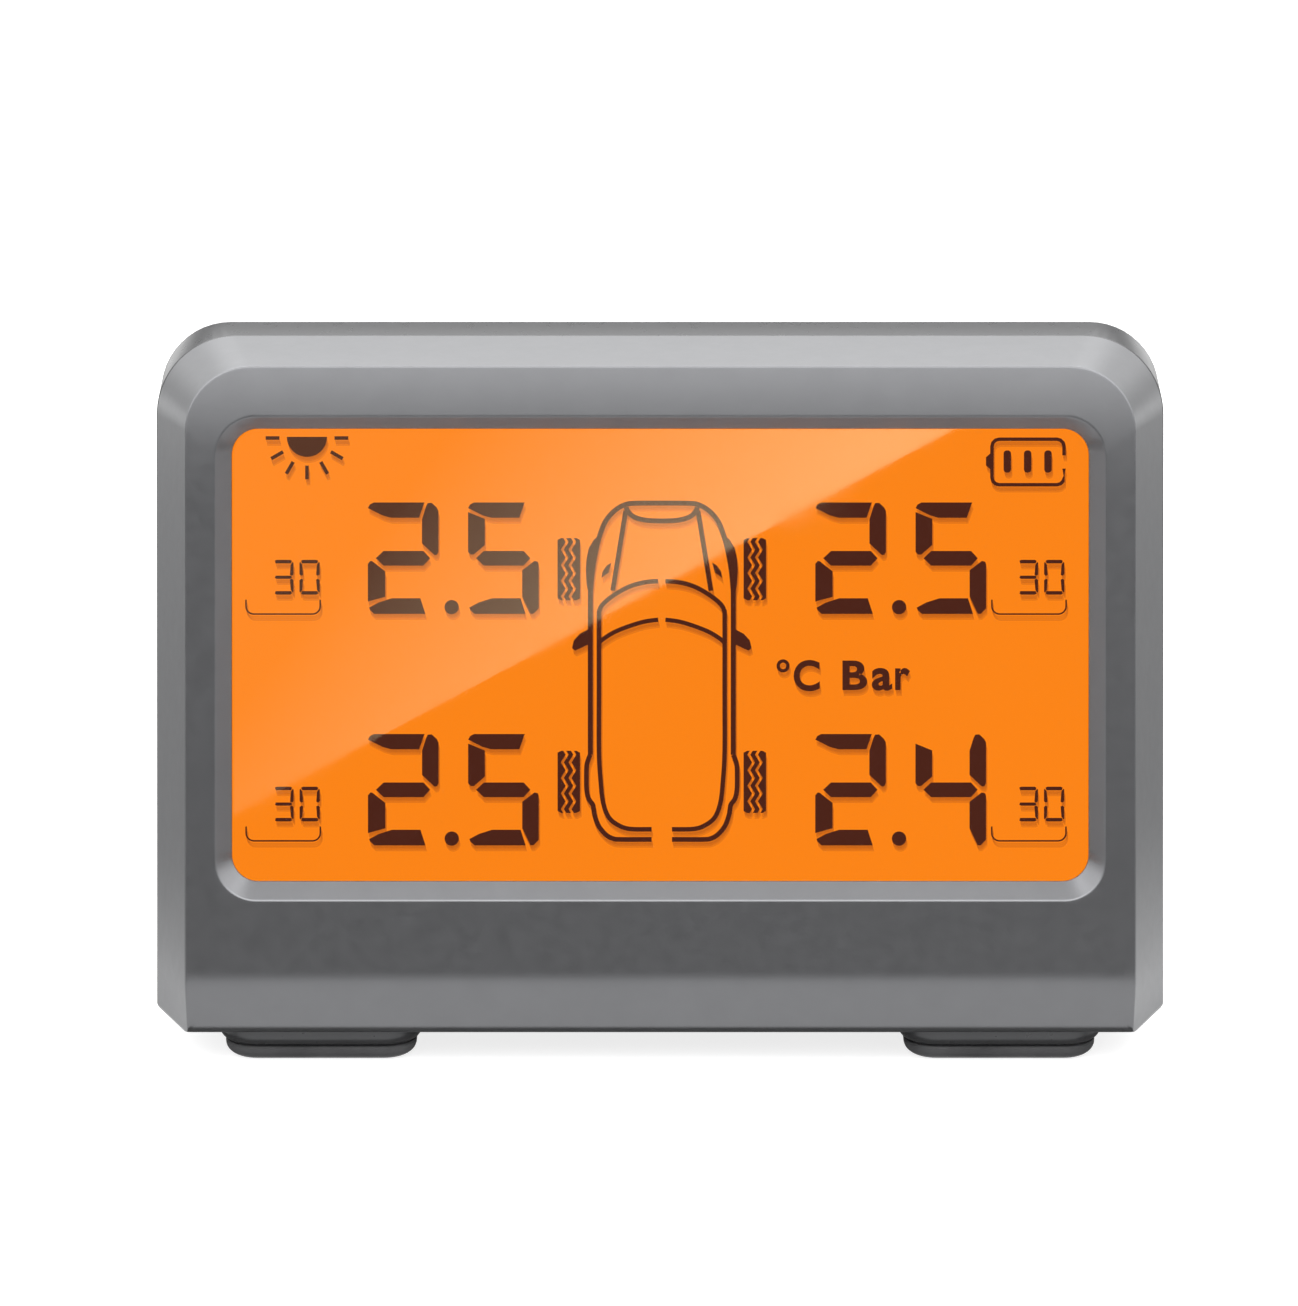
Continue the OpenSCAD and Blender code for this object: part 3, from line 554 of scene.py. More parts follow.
# The drawn shell starts a little behind the bezel, with a small bevel, so that a parting line shows
PART_GAP, PART_BEVEL = 0.12, 0.18


def part_ring(inset, r_low, w):
    """The parting line's outline, that far inside, at depth w behind the face."""
    ring = box_outline(BODY_W / 2 - inset, base_v(SKIRT_D) + inset, PART_TOP - inset, r_low,
                       BODY_R - inset, 24)
    return [face(u, v, w) for u, v in ring]


def torus(x, y, z, ring_r, tube_r):
    """Points of a torus whose axis is along y, in metres."""
    pts = []
    for i in range(49):
        for j in range(25):
            a, b = rad(360 * i / 48), rad(360 * j / 24)
            q = ring_r + tube_r * math.cos(b)
            pts.append(Vector((x + q * math.cos(a), y + tube_r * math.sin(b), z + q * math.sin(a))) * MM)
    return pts


def ball(x, y, z, r):
    """Points of a sphere, in metres."""
    pts = []
    for i in range(48):
        for j in range(25):
            a, b = rad(360 * i / 48), rad(-90 + 180 * j / 24)
            pts.append(Vector((x + r * math.cos(a) * math.cos(b), y + r * math.sin(a) * math.cos(b),
                               z + r * math.sin(b))) * MM)
    return pts


def shell_points(inset):
    """Points whose hull is the rear shell, or its cavity where there is an inset."""
    if inset:
        edge_r = EDGE_R
        pts = part_ring(inset, 1.0, SKIRT_D - 1) + part_ring(inset, 1.0, SKIRT_D + 0.2)
    else:
        edge_r = ROOF_EDGE_R
        pts = part_ring(PART_BEVEL, 0.8, SKIRT_D + PART_GAP)
        pts += part_ring(0.0, 0.6, SKIRT_D + PART_GAP + PART_BEVEL)
    round_y = ROOF_END_Y - edge_r * math.tan(SLOPE_A / 2)
    for side in (-1, 1):
        pts += torus(side * (ROOF_HALF_W - ROOF_R), round_y, ROOF_Z - ROOF_R, ROOF_R - edge_r,
                     edge_r - inset)
        for z in (KNEE_Z, REAR_BASE_Z + EDGE_R):
            pts += ball(side * (REAR_HALF_W - EDGE_R), KNEE_Y, z, EDGE_R - inset)
    return pts


rear = hull_object("rear_case", shell_points(0), rear_mat)
cavity = hull_object("cavity", shell_points(WALL), scrap)
cut(rear, [cavity])
plinth_levels = [(PAD_SHOW + 0.12, 1.1), (PAD_SHOW + 0.12, 0.66), (PAD_SHOW + 0.18, 0.44), (1.68, 0.24),
                 (1.88, 0.09), (2.1, 0.02), (2.3, 0.0), (REAR_BASE_Z + 0.4, 0.0)]
plinth = prism("plinth", foot_outline, plinth_levels, Matrix.Identity(4), scrap)
plinth_l = mirrored(plinth, "plinth_l")
cut(rear, [plinth, plinth_l], "UNION")


def rear_cutter(outline_at, depth, lip, x, z):
    """Cutter for an opening in the rear wall."""
    return flared(outline_at, depth, lip, REAR_M @ Matrix.Translation((-x * MM, z * MM, 0)))


THROUGH, SCREW_WELL = 4.0, 3.2
USB_HOLE_W, USB_HOLE_H = 9.3, 3.6
key_hole = pill_outline(BUTTON_W + 2 * BUTTON_GAP, BUTTON_H + 2 * BUTTON_GAP)
cutters = [rear_cutter(key_hole, THROUGH, 0.25, i * BUTTON_PITCH, BUTTON_Z) for i in (-1, 0, 1)]
cutters.append(rear_cutter(pill_outline(USB_HOLE_W, USB_HOLE_H), THROUGH, 0.3, USB_X, BUTTON_Z))
# the buzzer's holes: six round one
SOUND_R, SOUND_RING_R = 0.7, 2.7
for x, z in circle(BUZZER_X, BUTTON_Z, SOUND_RING_R, 6) + [(BUZZER_X, BUTTON_Z)]:
    cutters.append(rear_cutter(circle_outline(SOUND_R, 24), THROUGH, 0.15, x, z))
for side in (-1, 1):
    cutters.append(rear_cutter(circle_outline(2.4), SCREW_WELL, 0.3, side * SCREW_X, SCREW_Z))
cut(rear, cutters)
pocket_outline = rect_outline(SOLAR_W, SOLAR_H, SOLAR_R, 10)
cut(rear, [flared(pocket_outline, 2.4, 0.35, SOLAR_M)])


def tub(name, outline_at, wall, rim, depth, place):
    """A well behind an opening, so that nothing shows through the shell."""
    levels = [(-depth - wall, -wall), (-rim, -wall), (-rim, 0.0), (-depth, 0.0)]
    return prism(name, outline_at, levels, place, scrap)


cut(rear, [tub("solar_well", pocket_outline, WALL, 0.9, 2.6, SOLAR_M)], "UNION")
# the cutters' material goes from the faces that they made
rear.data.materials.clear()
rear.data.materials.append(rear_mat)
for p in rear.data.polygons:
    p.material_index = 0
weighted(rear, 38)
settle(rear)

# ---------------------------------------------------------------- feet
pad_levels = [(0.0, 1.6), (0.03, 1.4), (0.09, 1.19), (0.19, 0.99), (0.32, 0.82), (0.48, 0.67), (0.66, 0.56),
              (0.86, 0.49), (1.14, 0.46), (1.3, 0.54), (1.38, 0.76), (PAD_SHOW + 0.3, 1.1)]
pad_r = prism("foot_pad_right", foot_outline, pad_levels, Matrix.Identity(4), pad_mat, 30)
pad_l = mirrored(pad_r, "foot_pad_left")

# ---------------------------------------------------------------- buttons
BUTTON_BACK, BUTTON_TOP = button_lo.y - REAR_Y, button_hi.y - REAR_Y
# The flange that keeps a button in its hole, and the roll of its front edge
FLANGE, BUTTON_ROLL = 0.8, 0.45


def button(name, place):
    """A cap with a rolled edge and a slightly hollow front."""
    roll_start = BUTTON_TOP - BUTTON_ROLL
    levels = [(BUTTON_BACK, -FLANGE), (BUTTON_BACK + FLANGE, -FLANGE), (BUTTON_BACK + FLANGE, 0.0)]
    levels += quarter(roll_start, BUTTON_TOP - 0.08, 0.0, BUTTON_ROLL, 5)
    levels += [(BUTTON_TOP - 0.06, 0.75), (BUTTON_TOP - 0.1, 1.1)]
    return prism(name, pill_outline(BUTTON_W, BUTTON_H, 20), levels, place, button_mat, 35)


def rect(x0, y0, x1, y1):
    return [(x0, y0), (x1, y0), (x1, y1), (x0, y1)]


plus = [(-1.1, -0.2), (-0.2, -0.2), (-0.2, -1.1), (0.2, -1.1), (0.2, -0.2), (1.1, -0.2),
        (1.1, 0.2), (0.2, 0.2), (0.2, 1.1), (-0.2, 1.1), (-0.2, 0.2), (-1.1, 0.2)]
signs = {"minus": rect(-1.1, -0.2, 1.1, 0.2), "set": circle(0.0, 0.0, 0.75, 28), "plus": plus}
keys = {}
for (key, shape), x in zip(signs.items(), (BUTTON_PITCH, 0.0, -BUTTON_PITCH)):
    place = REAR_M @ Matrix.Translation((-x * MM, BUTTON_Z * MM, 0))
    cap = button(f"{key}_cap", place)
    sign = plates(f"{key}_mark", [([shape], BUTTON_TOP - 0.14, BUTTON_TOP - 0.005)], place, mark_mat, 35)
    keys[key] = (cap, sign)

# ---------------------------------------------------------------- display
VIEW_M = FACE_M @ Matrix.Translation((0, VIEW_V * MM, 0))
# Heights of the readings and the panel, with the layers of their faint shadow between them
INK_Z, SHADE_Z, PANEL_Z = -3.06, (-3.14, -3.19, -3.24), -3.3
INK_T, SHADE_T, PANEL_T = 0.04, 0.02, 0.1
SHADE_SHIFT = ((0.05, -0.22), (0.09, -0.36), (0.13, -0.5))


def stroke(points, width, closed=False):
    """Quads along a line, mitred."""
    pts = [Vector(p) for p in points]
    n = len(pts)
    sides = []
    for i, p in enumerate(pts):
        a = pts[(i - 1) % n] if closed or i > 0 else None
        b = pts[(i + 1) % n] if closed or i < n - 1 else None
        d0 = (p - a).normalized() if a is not None else None
        d1 = (b - p).normalized() if b is not None else None
        d = ((d0 or d1) + (d1 or d0)).normalized()
        nrm = Vector((-d.y, d.x))
        k = 1.0 if d0 is None or d1 is None else 1.0 / max(0.4, math.sqrt((1 + d0.dot(d1)) / 2))
        sides.append((p + nrm * (width / 2 * k), p - nrm * (width / 2 * k)))
    out = []
    for i in range(n if closed else n - 1):
        (a0, a1), (b0, b1) = sides[i], sides[(i + 1) % n]
        out.append([tuple(a1), tuple(b1), tuple(b0), tuple(a0)])
    return out


def smooth_line(points, n=6):
    """Catmull-Rom points through the given ones."""
    p = [Vector(q) for q in points]
    out = []
    for i in range(len(p) - 1):
        a, b, c, d = p[max(i - 1, 0)], p[i], p[i + 1], p[min(i + 2, len(p) - 1)]
        for s in range(n):
            t = s / n
            out.append(tuple(0.5 * (2 * b + (c - a) * t + (2 * a - 5 * b + 4 * c - d) * t * t
                                    + (3 * b - a - 3 * c + d) * t ** 3)))
    out.append(tuple(p[-1]))
    return out


# Seven segments in a digit 5.9 mm wide and 9.35 mm high, from its top left corner, y downwards
SEGMENTS = {
    "a": [(0, .47), (.17, .17), (.49, 0), (4.73, 0), (4.28, 1.28), (1.93, 1.28), (1.22, 1.08)],
    "b": [(5.0, .05), (5.33, .03), (5.75, .42), (5.9, .72), (5.9, 4.1), (5.78, 4.36), (5.56, 4.4),
          (4.52, 3.42), (4.52, 1.4), (4.85, .35)],
    "c": [(5.54, 4.88), (5.82, 4.95), (5.9, 5.17), (5.9, 8.84), (5.46, 9.3), (5.2, 9.3), (4.52, 7.88),
          (4.52, 5.66)],
    "d": [(.1, 8.78), (.9, 8.35), (2.0, 8.0), (4.38, 8.0), (4.81, 9.31), (.53, 9.31), (.19, 9.0)],
    "e": [(0, 5.12), (.21, 4.88), (.36, 4.9), (1.45, 5.75), (1.45, 7.88), (0, 8.28)],
    "f": [(0, .8), (1.4, 1.37), (1.4, 3.56), (.48, 4.35), (.21, 4.35), (0, 4.12)],
    "g": [(.66, 4.66), (1.31, 4.05), (4.64, 4.05), (5.2, 4.66), (4.64, 5.28), (1.31, 5.28)],
}
DIGITS = {"0": "abcdef", "2": "abged", "3": "abgcd", "4": "fgbc", "5": "afgcd"}


def big_digit(ch, left, top):
    return [[(left + x, top - y) for x, y in SEGMENTS[s]] for s in DIGITS[ch]]


def small_digit(ch, left, top):
    """Seven bars with clipped ends between the centre lines of a digit."""
    w, h, t = 1.39, 2.61, 0.3
    m, c, k = h / 2, t / 2, 0.07
    x0, x1 = 0.13, w - 0.13
    flat = [(x0 - c, k), (x0, c), (x1, c), (x1 + c, k), (x1 + c - k, -c), (x0 - c + k, -c)]
    bars = {"a": [(x, -y) for x, y in flat], "d": [(x, h + y) for x, y in flat],
            "g": [(x, m + y * 0.9) for x, y in flat]}
    side = [(c, 0.1), (c, m - 0.24), (0.0, m - 0.12), (-c, m - 0.2), (-c + k, 0.1 + c), (c - k, 0.02)]
    bars["b"] = [(w + x, y) for x, y in side]
    bars["f"] = [(-x, y) for x, y in side]
    bars["c"] = [(w + x, h - y) for x, y in side]
    bars["e"] = [(-x, h - y) for x, y in side]
    return [[(left + x, top - y) for x, y in bars[s]] for s in DIGITS[ch]]


ink = []
# readings: left edge of each pair, the second digit's offset, and the rows' tops
for top, pair in ((12.72, ("25", "25")), (-6.62, ("25", "24"))):
    for left, text in zip((-24.42, 12.95), pair):
        ink += big_digit(text[0], left, top)
        ink += big_digit(text[1], left + 8.37, top)
        ink.append(circle(left + 7.0, top - 8.74, 0.6, 28))
# temperatures over their brackets
for top in (7.78, -11.17):
    for left, edge in ((-32.17, -34.6), (30.02, 27.7)):
        ink += small_digit("3", left, top)
        ink += small_digit("0", left + 2.19, top)
        r = 0.65
        right = edge + 6.2
        low = top - 4.38
        tray = [(edge, low + 1.2)] + arc(edge + r, low + r, r, 180, 270, 6)
        tray += arc(right - r, low + r, r, -90, 0, 6) + [(right, low + 1.2)]
        ink += stroke(tray, 0.13)
# sun: half a disc and seven rays
SUN_X = -29.5
ink.append(arc(SUN_X, 18.2, 1.68, 180, 360, 24))
for k in range(7):
    a = rad(180 + 30 * k)
    ink += stroke([(SUN_X + r * math.cos(a), 18.1 + r * math.sin(a)) for r in (2.3, 3.45)], 0.3)
# battery gauge, open at its right side, with a nub at its left
LEFT, RIGHT, LOW, HIGH, CORNER = 28.3, 33.12, 14.8, 17.4, 0.6
gauge = [(33.72, 15.55), (33.72, 14.75)] + arc(RIGHT, LOW, CORNER, 0, -90, 3)
gauge += arc(LEFT, LOW, CORNER, 270, 180, 3) + arc(LEFT, HIGH, CORNER, 180, 90, 3)
gauge += arc(RIGHT, HIGH, CORNER, 90, 0, 3) + [(33.72, 16.65)]
ink += stroke(gauge, 0.29)
ink.append([(27.2, 16.5), (27.2, 15.8), (27.6, 15.45), (27.6, 16.85)])
for x in (28.98, 30.68, 32.38):
    ink.append([(px + x, py + 16.14) for px, py in box_outline(0.31, -0.93, 0.93, 0.27, 0.27, 5)])
# car seen from above: right half, mirrored about its own middle line
CAR_X = 0.13


def car(points):
    """Points given from the car's middle line and from its nose, in mm."""
    return [(CAR_X + x, 12.95 - y) for x, y in points]


half = []
half += stroke(car(smooth_line([(0, .28), (2.3, .3), (3.15, .45), (3.98, .95), (4.7, 1.8), (5.15, 2.9),
                                (5.45, 4.0), (5.75, 5.5), (5.93, 7.2), (5.97, 8.6), (5.97, 14.0),
                                (5.97, 21.3)], 5)), 0.42)
half += stroke(car(smooth_line([(5.97, 21.3), (6.12, 21.65), (6.27, 22.2), (6.3, 23.2), (6.27, 24.3),
                                (6.1, 25.0), (5.78, 25.45), (5.7, 25.8), (5.6, 26.4), (5.25, 27.3),
                                (4.65, 28.0), (4.1, 28.3), (3.5, 28.38), (0.85, 28.38)], 5)), 0.4)
half += stroke(car(smooth_line([(.3, 6.8), (1.45, 6.9), (2.7, 7.25), (3.9, 7.9), (4.85, 8.65), (5.2, 9.25),
                                (5.25, 10.1), (5.25, 16.0), (5.25, 21.0), (5.1, 23.6), (4.9, 25.3),
                                (4.45, 26.5), (3.7, 27.15), (2.7, 27.5), (.85, 27.53)], 5)), 0.38)
half += stroke(car(smooth_line([(.3, 10.02), (1.45, 10.18), (2.7, 10.55), (3.95, 11.05), (4.85, 11.6),
                                (5.25, 11.95)], 5)), 0.36)
half += stroke(car([(3.02, .95), (4.1, 7.6)]), 0.4)
half += stroke(car(smooth_line([(0, 1.78), (1.3, 1.72), (2.3, 1.45), (2.85, .95), (2.95, .62)], 5)), 0.42)
half.append(car([(5.2, 3.0), (5.65, 3.3), (6.1, 4.05), (6.28, 4.9), (6.35, 5.8), (6.28, 7.1), (6.1, 7.9),
                 (5.9, 8.2), (5.75, 6.4), (5.5, 4.6)]))
half.append(car([(4.2, 5.25), (4.6, 5.5), (4.95, 6.0), (5.05, 6.55), (4.75, 6.3), (4.45, 6.1)]))
half.append(car([(6.1, 10.8), (6.85, 11.2), (7.35, 11.75), (7.5, 12.4), (7.25, 12.6), (6.9, 12.45),
                 (6.15, 12.1)]))
TREAD_STEPS = 32
for y0 in (3.2, 20.97):
    # a tyre: three strips of tread with zigzag grooves between them
    for k in range(3):
        left, right = [], []
        for s in range(TREAD_STEPS + 1):
            t = s / TREAD_STEPS
            y = y0 + 5.2 * t
            zig = 0.2 * (abs(((t * 4 + 0.25) % 1) - 0.5) * 4 - 1)
            end = 0.3 * max(0.0, abs(t - 0.5) * 2 - 0.94) / 0.06
            left.append((6.83 + (0.64 * k + 0.12 + zig if k else end), y))
            right.append((6.83 + (0.64 * (k + 1) - 0.12 + zig if k < 2 else 1.88 - end), y))
        for s in range(TREAD_STEPS):
            half.append(car([left[s], left[s + 1], right[s + 1], right[s]]))
ink += half + [[(2 * CAR_X - x, y) for x, y in shape][::-1] for shape in half]
# unit marks
ink += stroke(circle(10.26, -0.93, 0.41, 24)[:-1], 0.28, closed=True)


def letters(text, x0, x1, y0, y1):
    """Flat outlines of text filling a box, from the built-in font."""
    cu = bpy.data.curves.new("letters", "FONT")
    cu.body, cu.size, cu.offset, cu.resolution_u = text, 3.2, 0.085, 6
    tmp = bpy.data.objects.new("letters", cu)
    bpy.context.scene.collection.objects.link(tmp)
    me = bpy.data.meshes.new_from_object(tmp.evaluated_get(bpy.context.evaluated_depsgraph_get()))
    xs, ys = [v.co.x for v in me.vertices], [v.co.y for v in me.vertices]
    left, low = min(xs), min(ys)
    kx, ky = (x1 - x0) / (max(xs) - left), (y1 - y0) / (max(ys) - low)
    pts = [(x0 + (x - left) * kx, y0 + (y - low) * ky) for x, y in zip(xs, ys)]
    shapes = [[pts[i] for i in p.vertices] for p in me.polygons]
    bpy.data.objects.remove(tmp)
    bpy.data.curves.remove(cu)
    bpy.data.meshes.remove(me)
    return shapes


ink += letters("C", 11.14, 13.33, -3.05, -0.43)
ink += letters("B", 15.22, 17.29, -2.95, -0.48)
ink += letters("a", 17.67, 19.38, -3.0, -1.1)
ink += letters("r", 19.62, 20.86, -2.95, -1.1)


def lin(r, g, b):
    """Linear colour from the 0 to 255 values of a screen."""
    return tuple((c / 255 / 12.92) if c <= 10 else ((c / 255 + 0.055) / 1.055) ** 2.4 for c in (r, g, b))


ORANGE = lin(253, 132, 11)
panel_n = glowing("display_glow", (0.0, 0.0, 0.0), ORANGE, 1.06)
glow = panel_n.ramp(panel_n.noise(30, 2), [(NOISE_LOW, shade(ORANGE, 0.985)), (NOISE_HIGH, ORANGE)])
panel_n.link(glow, panel_n.bsdf.inputs["Emission Color"])
INK = lin(76, 29, 12)
ink_n = glowing("display_ink", (0.002, 0.001, 0.001), INK, 0.95)
SHADOW = lin(176, 84, 14)
shade_n = glowing("display_shadow", (0.0, 0.0, 0.0), SHADOW, 1.0)
shade_n.set("Alpha", 0.17)

PANEL_HIDDEN = 2.6
panel = prism("display_panel", rect_outline(VIEW_W + PANEL_HIDDEN, VIEW_H + PANEL_HIDDEN, 1.0, 6),
              [(PANEL_Z - PANEL_T, 0.0), (PANEL_Z, 0.0)], VIEW_M, panel_n.mat, 30)
panel.visible_glossy = False
readings = plates("display_readings", [(ink, INK_Z - INK_T, INK_Z)], VIEW_M, ink_n.mat)
shadows = []
for i, (z, (dx, dy)) in enumerate(zip(SHADE_Z, SHADE_SHIFT)):
    place = VIEW_M @ Matrix.Translation((dx * MM, dy * MM, 0))
    shadows.append(plates(f"display_shadow_{i}", [(ink, z - SHADE_T, z)], place, shade_n.mat))

# ---------------------------------------------------------------- solar panel's printed lines
silver = metal("silver_ink", (0.78, 0.78, 0.76), 0.35)
CELLS, LINES, MARGIN, GAP = 10, 13, 1.4, 0.4
LINE_W, BAR_W, PRINT_T = 0.09, 0.24, 0.02
LINE_Z, BAR_Z = -1.12, -1.108
cell_w = (SOLAR_W - 2 * MARGIN - (CELLS - 1) * GAP) / CELLS
cell_top = SOLAR_H / 2 - MARGIN
lines, bars = [], []
for i in range(CELLS):
    x0 = MARGIN - SOLAR_W / 2 + i * (cell_w + GAP)
    for k in range(LINES):
        y = (cell_top - 0.9) * (2 * k / (LINES - 1) - 1)
        lines.append(rect(x0 + 0.15, y - LINE_W / 2, x0 + cell_w - 0.15, y + LINE_W / 2))
    for x in (x0 + cell_w * 0.3, x0 + cell_w * 0.7):
        bars.append(rect(x - BAR_W / 2, 0.2 - cell_top, x + BAR_W / 2, cell_top - 0.2))
fingers = plates("solar_fingers", [(lines, LINE_Z, LINE_Z + PRINT_T), (bars, BAR_Z, BAR_Z + PRINT_T)],
                 SOLAR_M, silver)

# ---------------------------------------------------------------- materials of the CAD nodes
slot_of = {p["node"]: p["material_slot"] for p in frame["record"]["subparts"]}
made = {
    "clear_lens": clear("clear_lens", (1, 1, 1), 0.0, 1.45),
    "lcd_glass": clear("lcd_glass", (0.93, 0.97, 0.95), 0.03),
    "solar_window": clear("solar_window", (0.96, 0.98, 1.0), 0.02, specular=0.2),
    "clear_acrylic": moulded("clear_acrylic", (0.8, 0.85, 0.85), 0.15, grain=900, strength=0.05),
    "white_film": moulded("white_film", (0.8, 0.8, 0.8), 0.6, grain=1800, strength=0.1),
    "white_plastic": moulded("white_plastic", (0.72, 0.72, 0.68), 0.45),
    "led_strip": moulded("led_strip", (0.65, 0.5, 0.15), 0.4),
    "black_foam": rubber("black_foam", (0.02, 0.02, 0.02)),
    "black_rubber": rubber("black_rubber", (0.03, 0.03, 0.03)),
    "circuit_board": moulded("circuit_board", (0.01, 0.11, 0.04), 0.3, grain=1400, strength=0.3),
    "black_chip": moulded("black_chip", (0.015, 0.015, 0.015), 0.55),
    "ceramic_chip": moulded("ceramic_chip", (0.35, 0.22, 0.12), 0.5),
    "ferrite": moulded("ferrite", (0.05, 0.05, 0.05), 0.6),
    "copper": metal("copper", (0.75, 0.35, 0.18), 0.25),
    "bright_metal": metal("bright_metal", (0.72, 0.72, 0.73), 0.2),
    "wire_sleeve": rubber("wire_sleeve", (0.35, 0.02, 0.02)),
    "battery_foil": metal("battery_foil", (0.7, 0.7, 0.72), 0.35, (1, 1, 1), 160),
    "screw_steel": metal("screw_steel", (0.33, 0.33, 0.34), 0.3, (1, 1, 1), 1200),
    "switch_grey": moulded("switch_grey", (0.06, 0.06, 0.065), 0.5),
    "panel_backing": moulded("panel_backing", (0.012, 0.012, 0.016), 0.45),
    "display_film": panel_n.mat,
    "casing_grey": case_mat, "rear_grey": rear_mat, "button_black": button_mat, "foot_rubber": pad_mat,
}
cell_n = Nodes("solar_silicon", (0.012, 0.016, 0.06), 0.22, 0.3, 0.3)
cell_n.vary_color(cell_n.noise(220, 4, 0.7), (0.008, 0.011, 0.04), (0.02, 0.028, 0.095))
cell_n.vary_rough(cell_n.noise(600, 3), 0.16, 0.3)
cell_n.bump(cell_n.noise(900, 2), 0.1, 0.00001)
made["solar_silicon"] = cell_n.mat
for name, ob in frame["nodes"].items():
    mat = made[slot_of[name]]
    ob.data.materials.clear()
    ob.data.materials.append(mat)

# ---------------------------------------------------------------- each drawn piece joins its body and hides the CAD parts it replaces
for ob, nodes, slot in ((bezel, ("front_bezel",), "casing_grey"), (rear, ("rear_shell",), "rear_grey"),
                        (pad_r, ("right_foot_pad",), "foot_rubber"),
                        (pad_l, ("left_foot_pad",), "foot_rubber"),
                        (panel, ("front_polarizer",), "display_film"), (readings, (), "display_film"),
                        (fingers, (), "bright_metal")):
    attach(ob, "casing")
    if nodes:
        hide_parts(*nodes)
for ob in shadows:
    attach(ob, "casing")
for key, (cap, sign) in keys.items():
    for ob in (cap, sign):
        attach(ob, f"{key}_key")
    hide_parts(f"{key}_button")

# ---------------------------------------------------------------- floor, lights, camera
floor_n = Nodes("floor", (0.4, 0.4, 0.4), 0.8, 0.0, 0.05)
floor_n.vary_color(floor_n.noise(3, 2), (0.395, 0.395, 0.395), (0.405, 0.405, 0.405))
floor_n.set("Emission Color", (1, 1, 1, 1)).set("Emission Strength", 0.78)


def sheet(name, half_x, half_y, z, material):
    """A level rectangle over the origin, in metres."""
    corners = [(x, y, z) for x, y in rect(-half_x, -half_y, half_x, half_y)]
    return add_mesh(name, corners, [(0, 1, 2, 3)], material, 0)


def emitter(name):
    """A material that only gives light, its node tree and its emission node."""
    mat = bpy.data.materials.new(name)
    mat.use_nodes = True
    tree = mat.node_tree
    tree.nodes.clear()
    light = tree.nodes.new("ShaderNodeEmission")
    tree.links.new(light.outputs["Emission"], tree.nodes.new("ShaderNodeOutputMaterial").inputs["Surface"])
    return mat, tree, light


FLOOR = 4.0
floor = sheet("floor", FLOOR, FLOOR, 0.0, floor_n.mat)

# what the casing reflects of the floor: bright close by, less so further off, and bright far away
sheen_mat, tree, light = emitter("floor_sheen")
away = tree.nodes.new("ShaderNodeVectorMath")
away.operation = "DISTANCE"
away.inputs[1].default_value = (0.008, -0.04, 0.0)
tree.links.new(tree.nodes.new("ShaderNodeTexCoord").outputs["Object"], away.inputs[0])
total = tree.nodes.new("ShaderNodeMath")
tree.links.new(remap(tree, away.outputs["Value"], (0.055, 0.11), (1.28, 0.55)), total.inputs[0])
tree.links.new(remap(tree, away.outputs["Value"], (0.3, 0.6), (0.0, 1.1)), total.inputs[1])
tree.links.new(total.outputs["Value"], light.inputs["Strength"])
sheen = sheet("floor_sheen", FLOOR, FLOOR, 0.0002, sheen_mat)
# and painted shade under its belly: a dark sheet that only the casing's reflections show
belly_shade_mat, tree, light = emitter("floor_belly_shade")
light.inputs["Strength"].default_value = 0.12
belly_shade = sheet("floor_belly_shade", 0.041, 0.024, 0.0004, belly_shade_mat)
for ob in (sheen, belly_shade):
    ob.visible_camera = ob.visible_diffuse = ob.visible_shadow = ob.visible_transmission = False

# a warm card in front of the display, seen only as the slanted reflection in its window
card_mat, tree, light = emitter("reflected_card")
light.inputs["Color"].default_value = (1.0, 0.87, 0.58, 1)
along = tree.nodes.new("ShaderNodeVectorMath")
along.operation = "DOT_PRODUCT"
along.inputs[1].default_value = (1.0, 0.0, -0.74)
tree.links.new(tree.nodes.new("ShaderNodeTexCoord").outputs["Object"], along.inputs[0])
card_light = remap(tree, along.outputs["Value"], (-0.304, -0.1976), (0.5, 3.4))
tree.links.new(card_light, light.inputs["Strength"])
# its slanted edge comes first
CARD_Y = -1.0
card_pts = [(190.2, 408.2), (-159.5, 214.4), (-330, 230), (-330, 520), (100, 520)]
card = add_mesh("reflected_card", [(x * MM, CARD_Y, z * MM) for x, z in card_pts], [(0, 1, 2, 3, 4)],
                card_mat, 0)
card.visible_camera = card.visible_diffuse = card.visible_shadow = False
glazing = bpy.data.collections.new("glazing")
glazing.objects.link(frame["nodes"]["display_lens"])
card.light_linking.receiver_collection = glazing

world = bpy.data.worlds.new("studio")
bpy.context.scene.world = world
world.use_nodes = True
wt = world.node_tree
bg = wt.nodes["Background"]
tc = wt.nodes.new("ShaderNodeTexCoord")
sep = wt.nodes.new("ShaderNodeSeparateXYZ")
wt.links.new(tc.outputs["Generated"], sep.inputs[0])


def world_ramp(socket, stops):
    """Brightness at the given places of a 0 to 1 value, and even steps between them."""
    r = wt.nodes.new("ShaderNodeValToRGB")
    el = r.color_ramp.elements
    for i, (pos, v) in enumerate(stops):
        e = el[i] if i < 2 else el.new(pos)
        e.position, e.color = pos, (v, v, v, 1)
    wt.links.new(socket, r.inputs["Fac"])
    return r.outputs["Color"]


def world_math(kind, a, b):
    """A Math node on a socket and a number."""
    m = wt.nodes.new("ShaderNodeMath")
    m.operation = kind
    wt.links.new(a, m.inputs[0])
    m.inputs[1].default_value = b
    return m.outputs[0]


def world_mix(fac, a, b):
    """Colour a where fac is 0 and colour b where it is 1; b may be a plain colour."""
    m = wt.nodes.new("ShaderNodeMix")
    m.data_type = "RGBA"
    wt.links.new(fac, m.inputs[0])
    wt.links.new(a, m.inputs[6])
    if isinstance(b, tuple):
        m.inputs[7].default_value = b
    else:
        wt.links.new(b, m.inputs[7])
    return m.outputs[2]


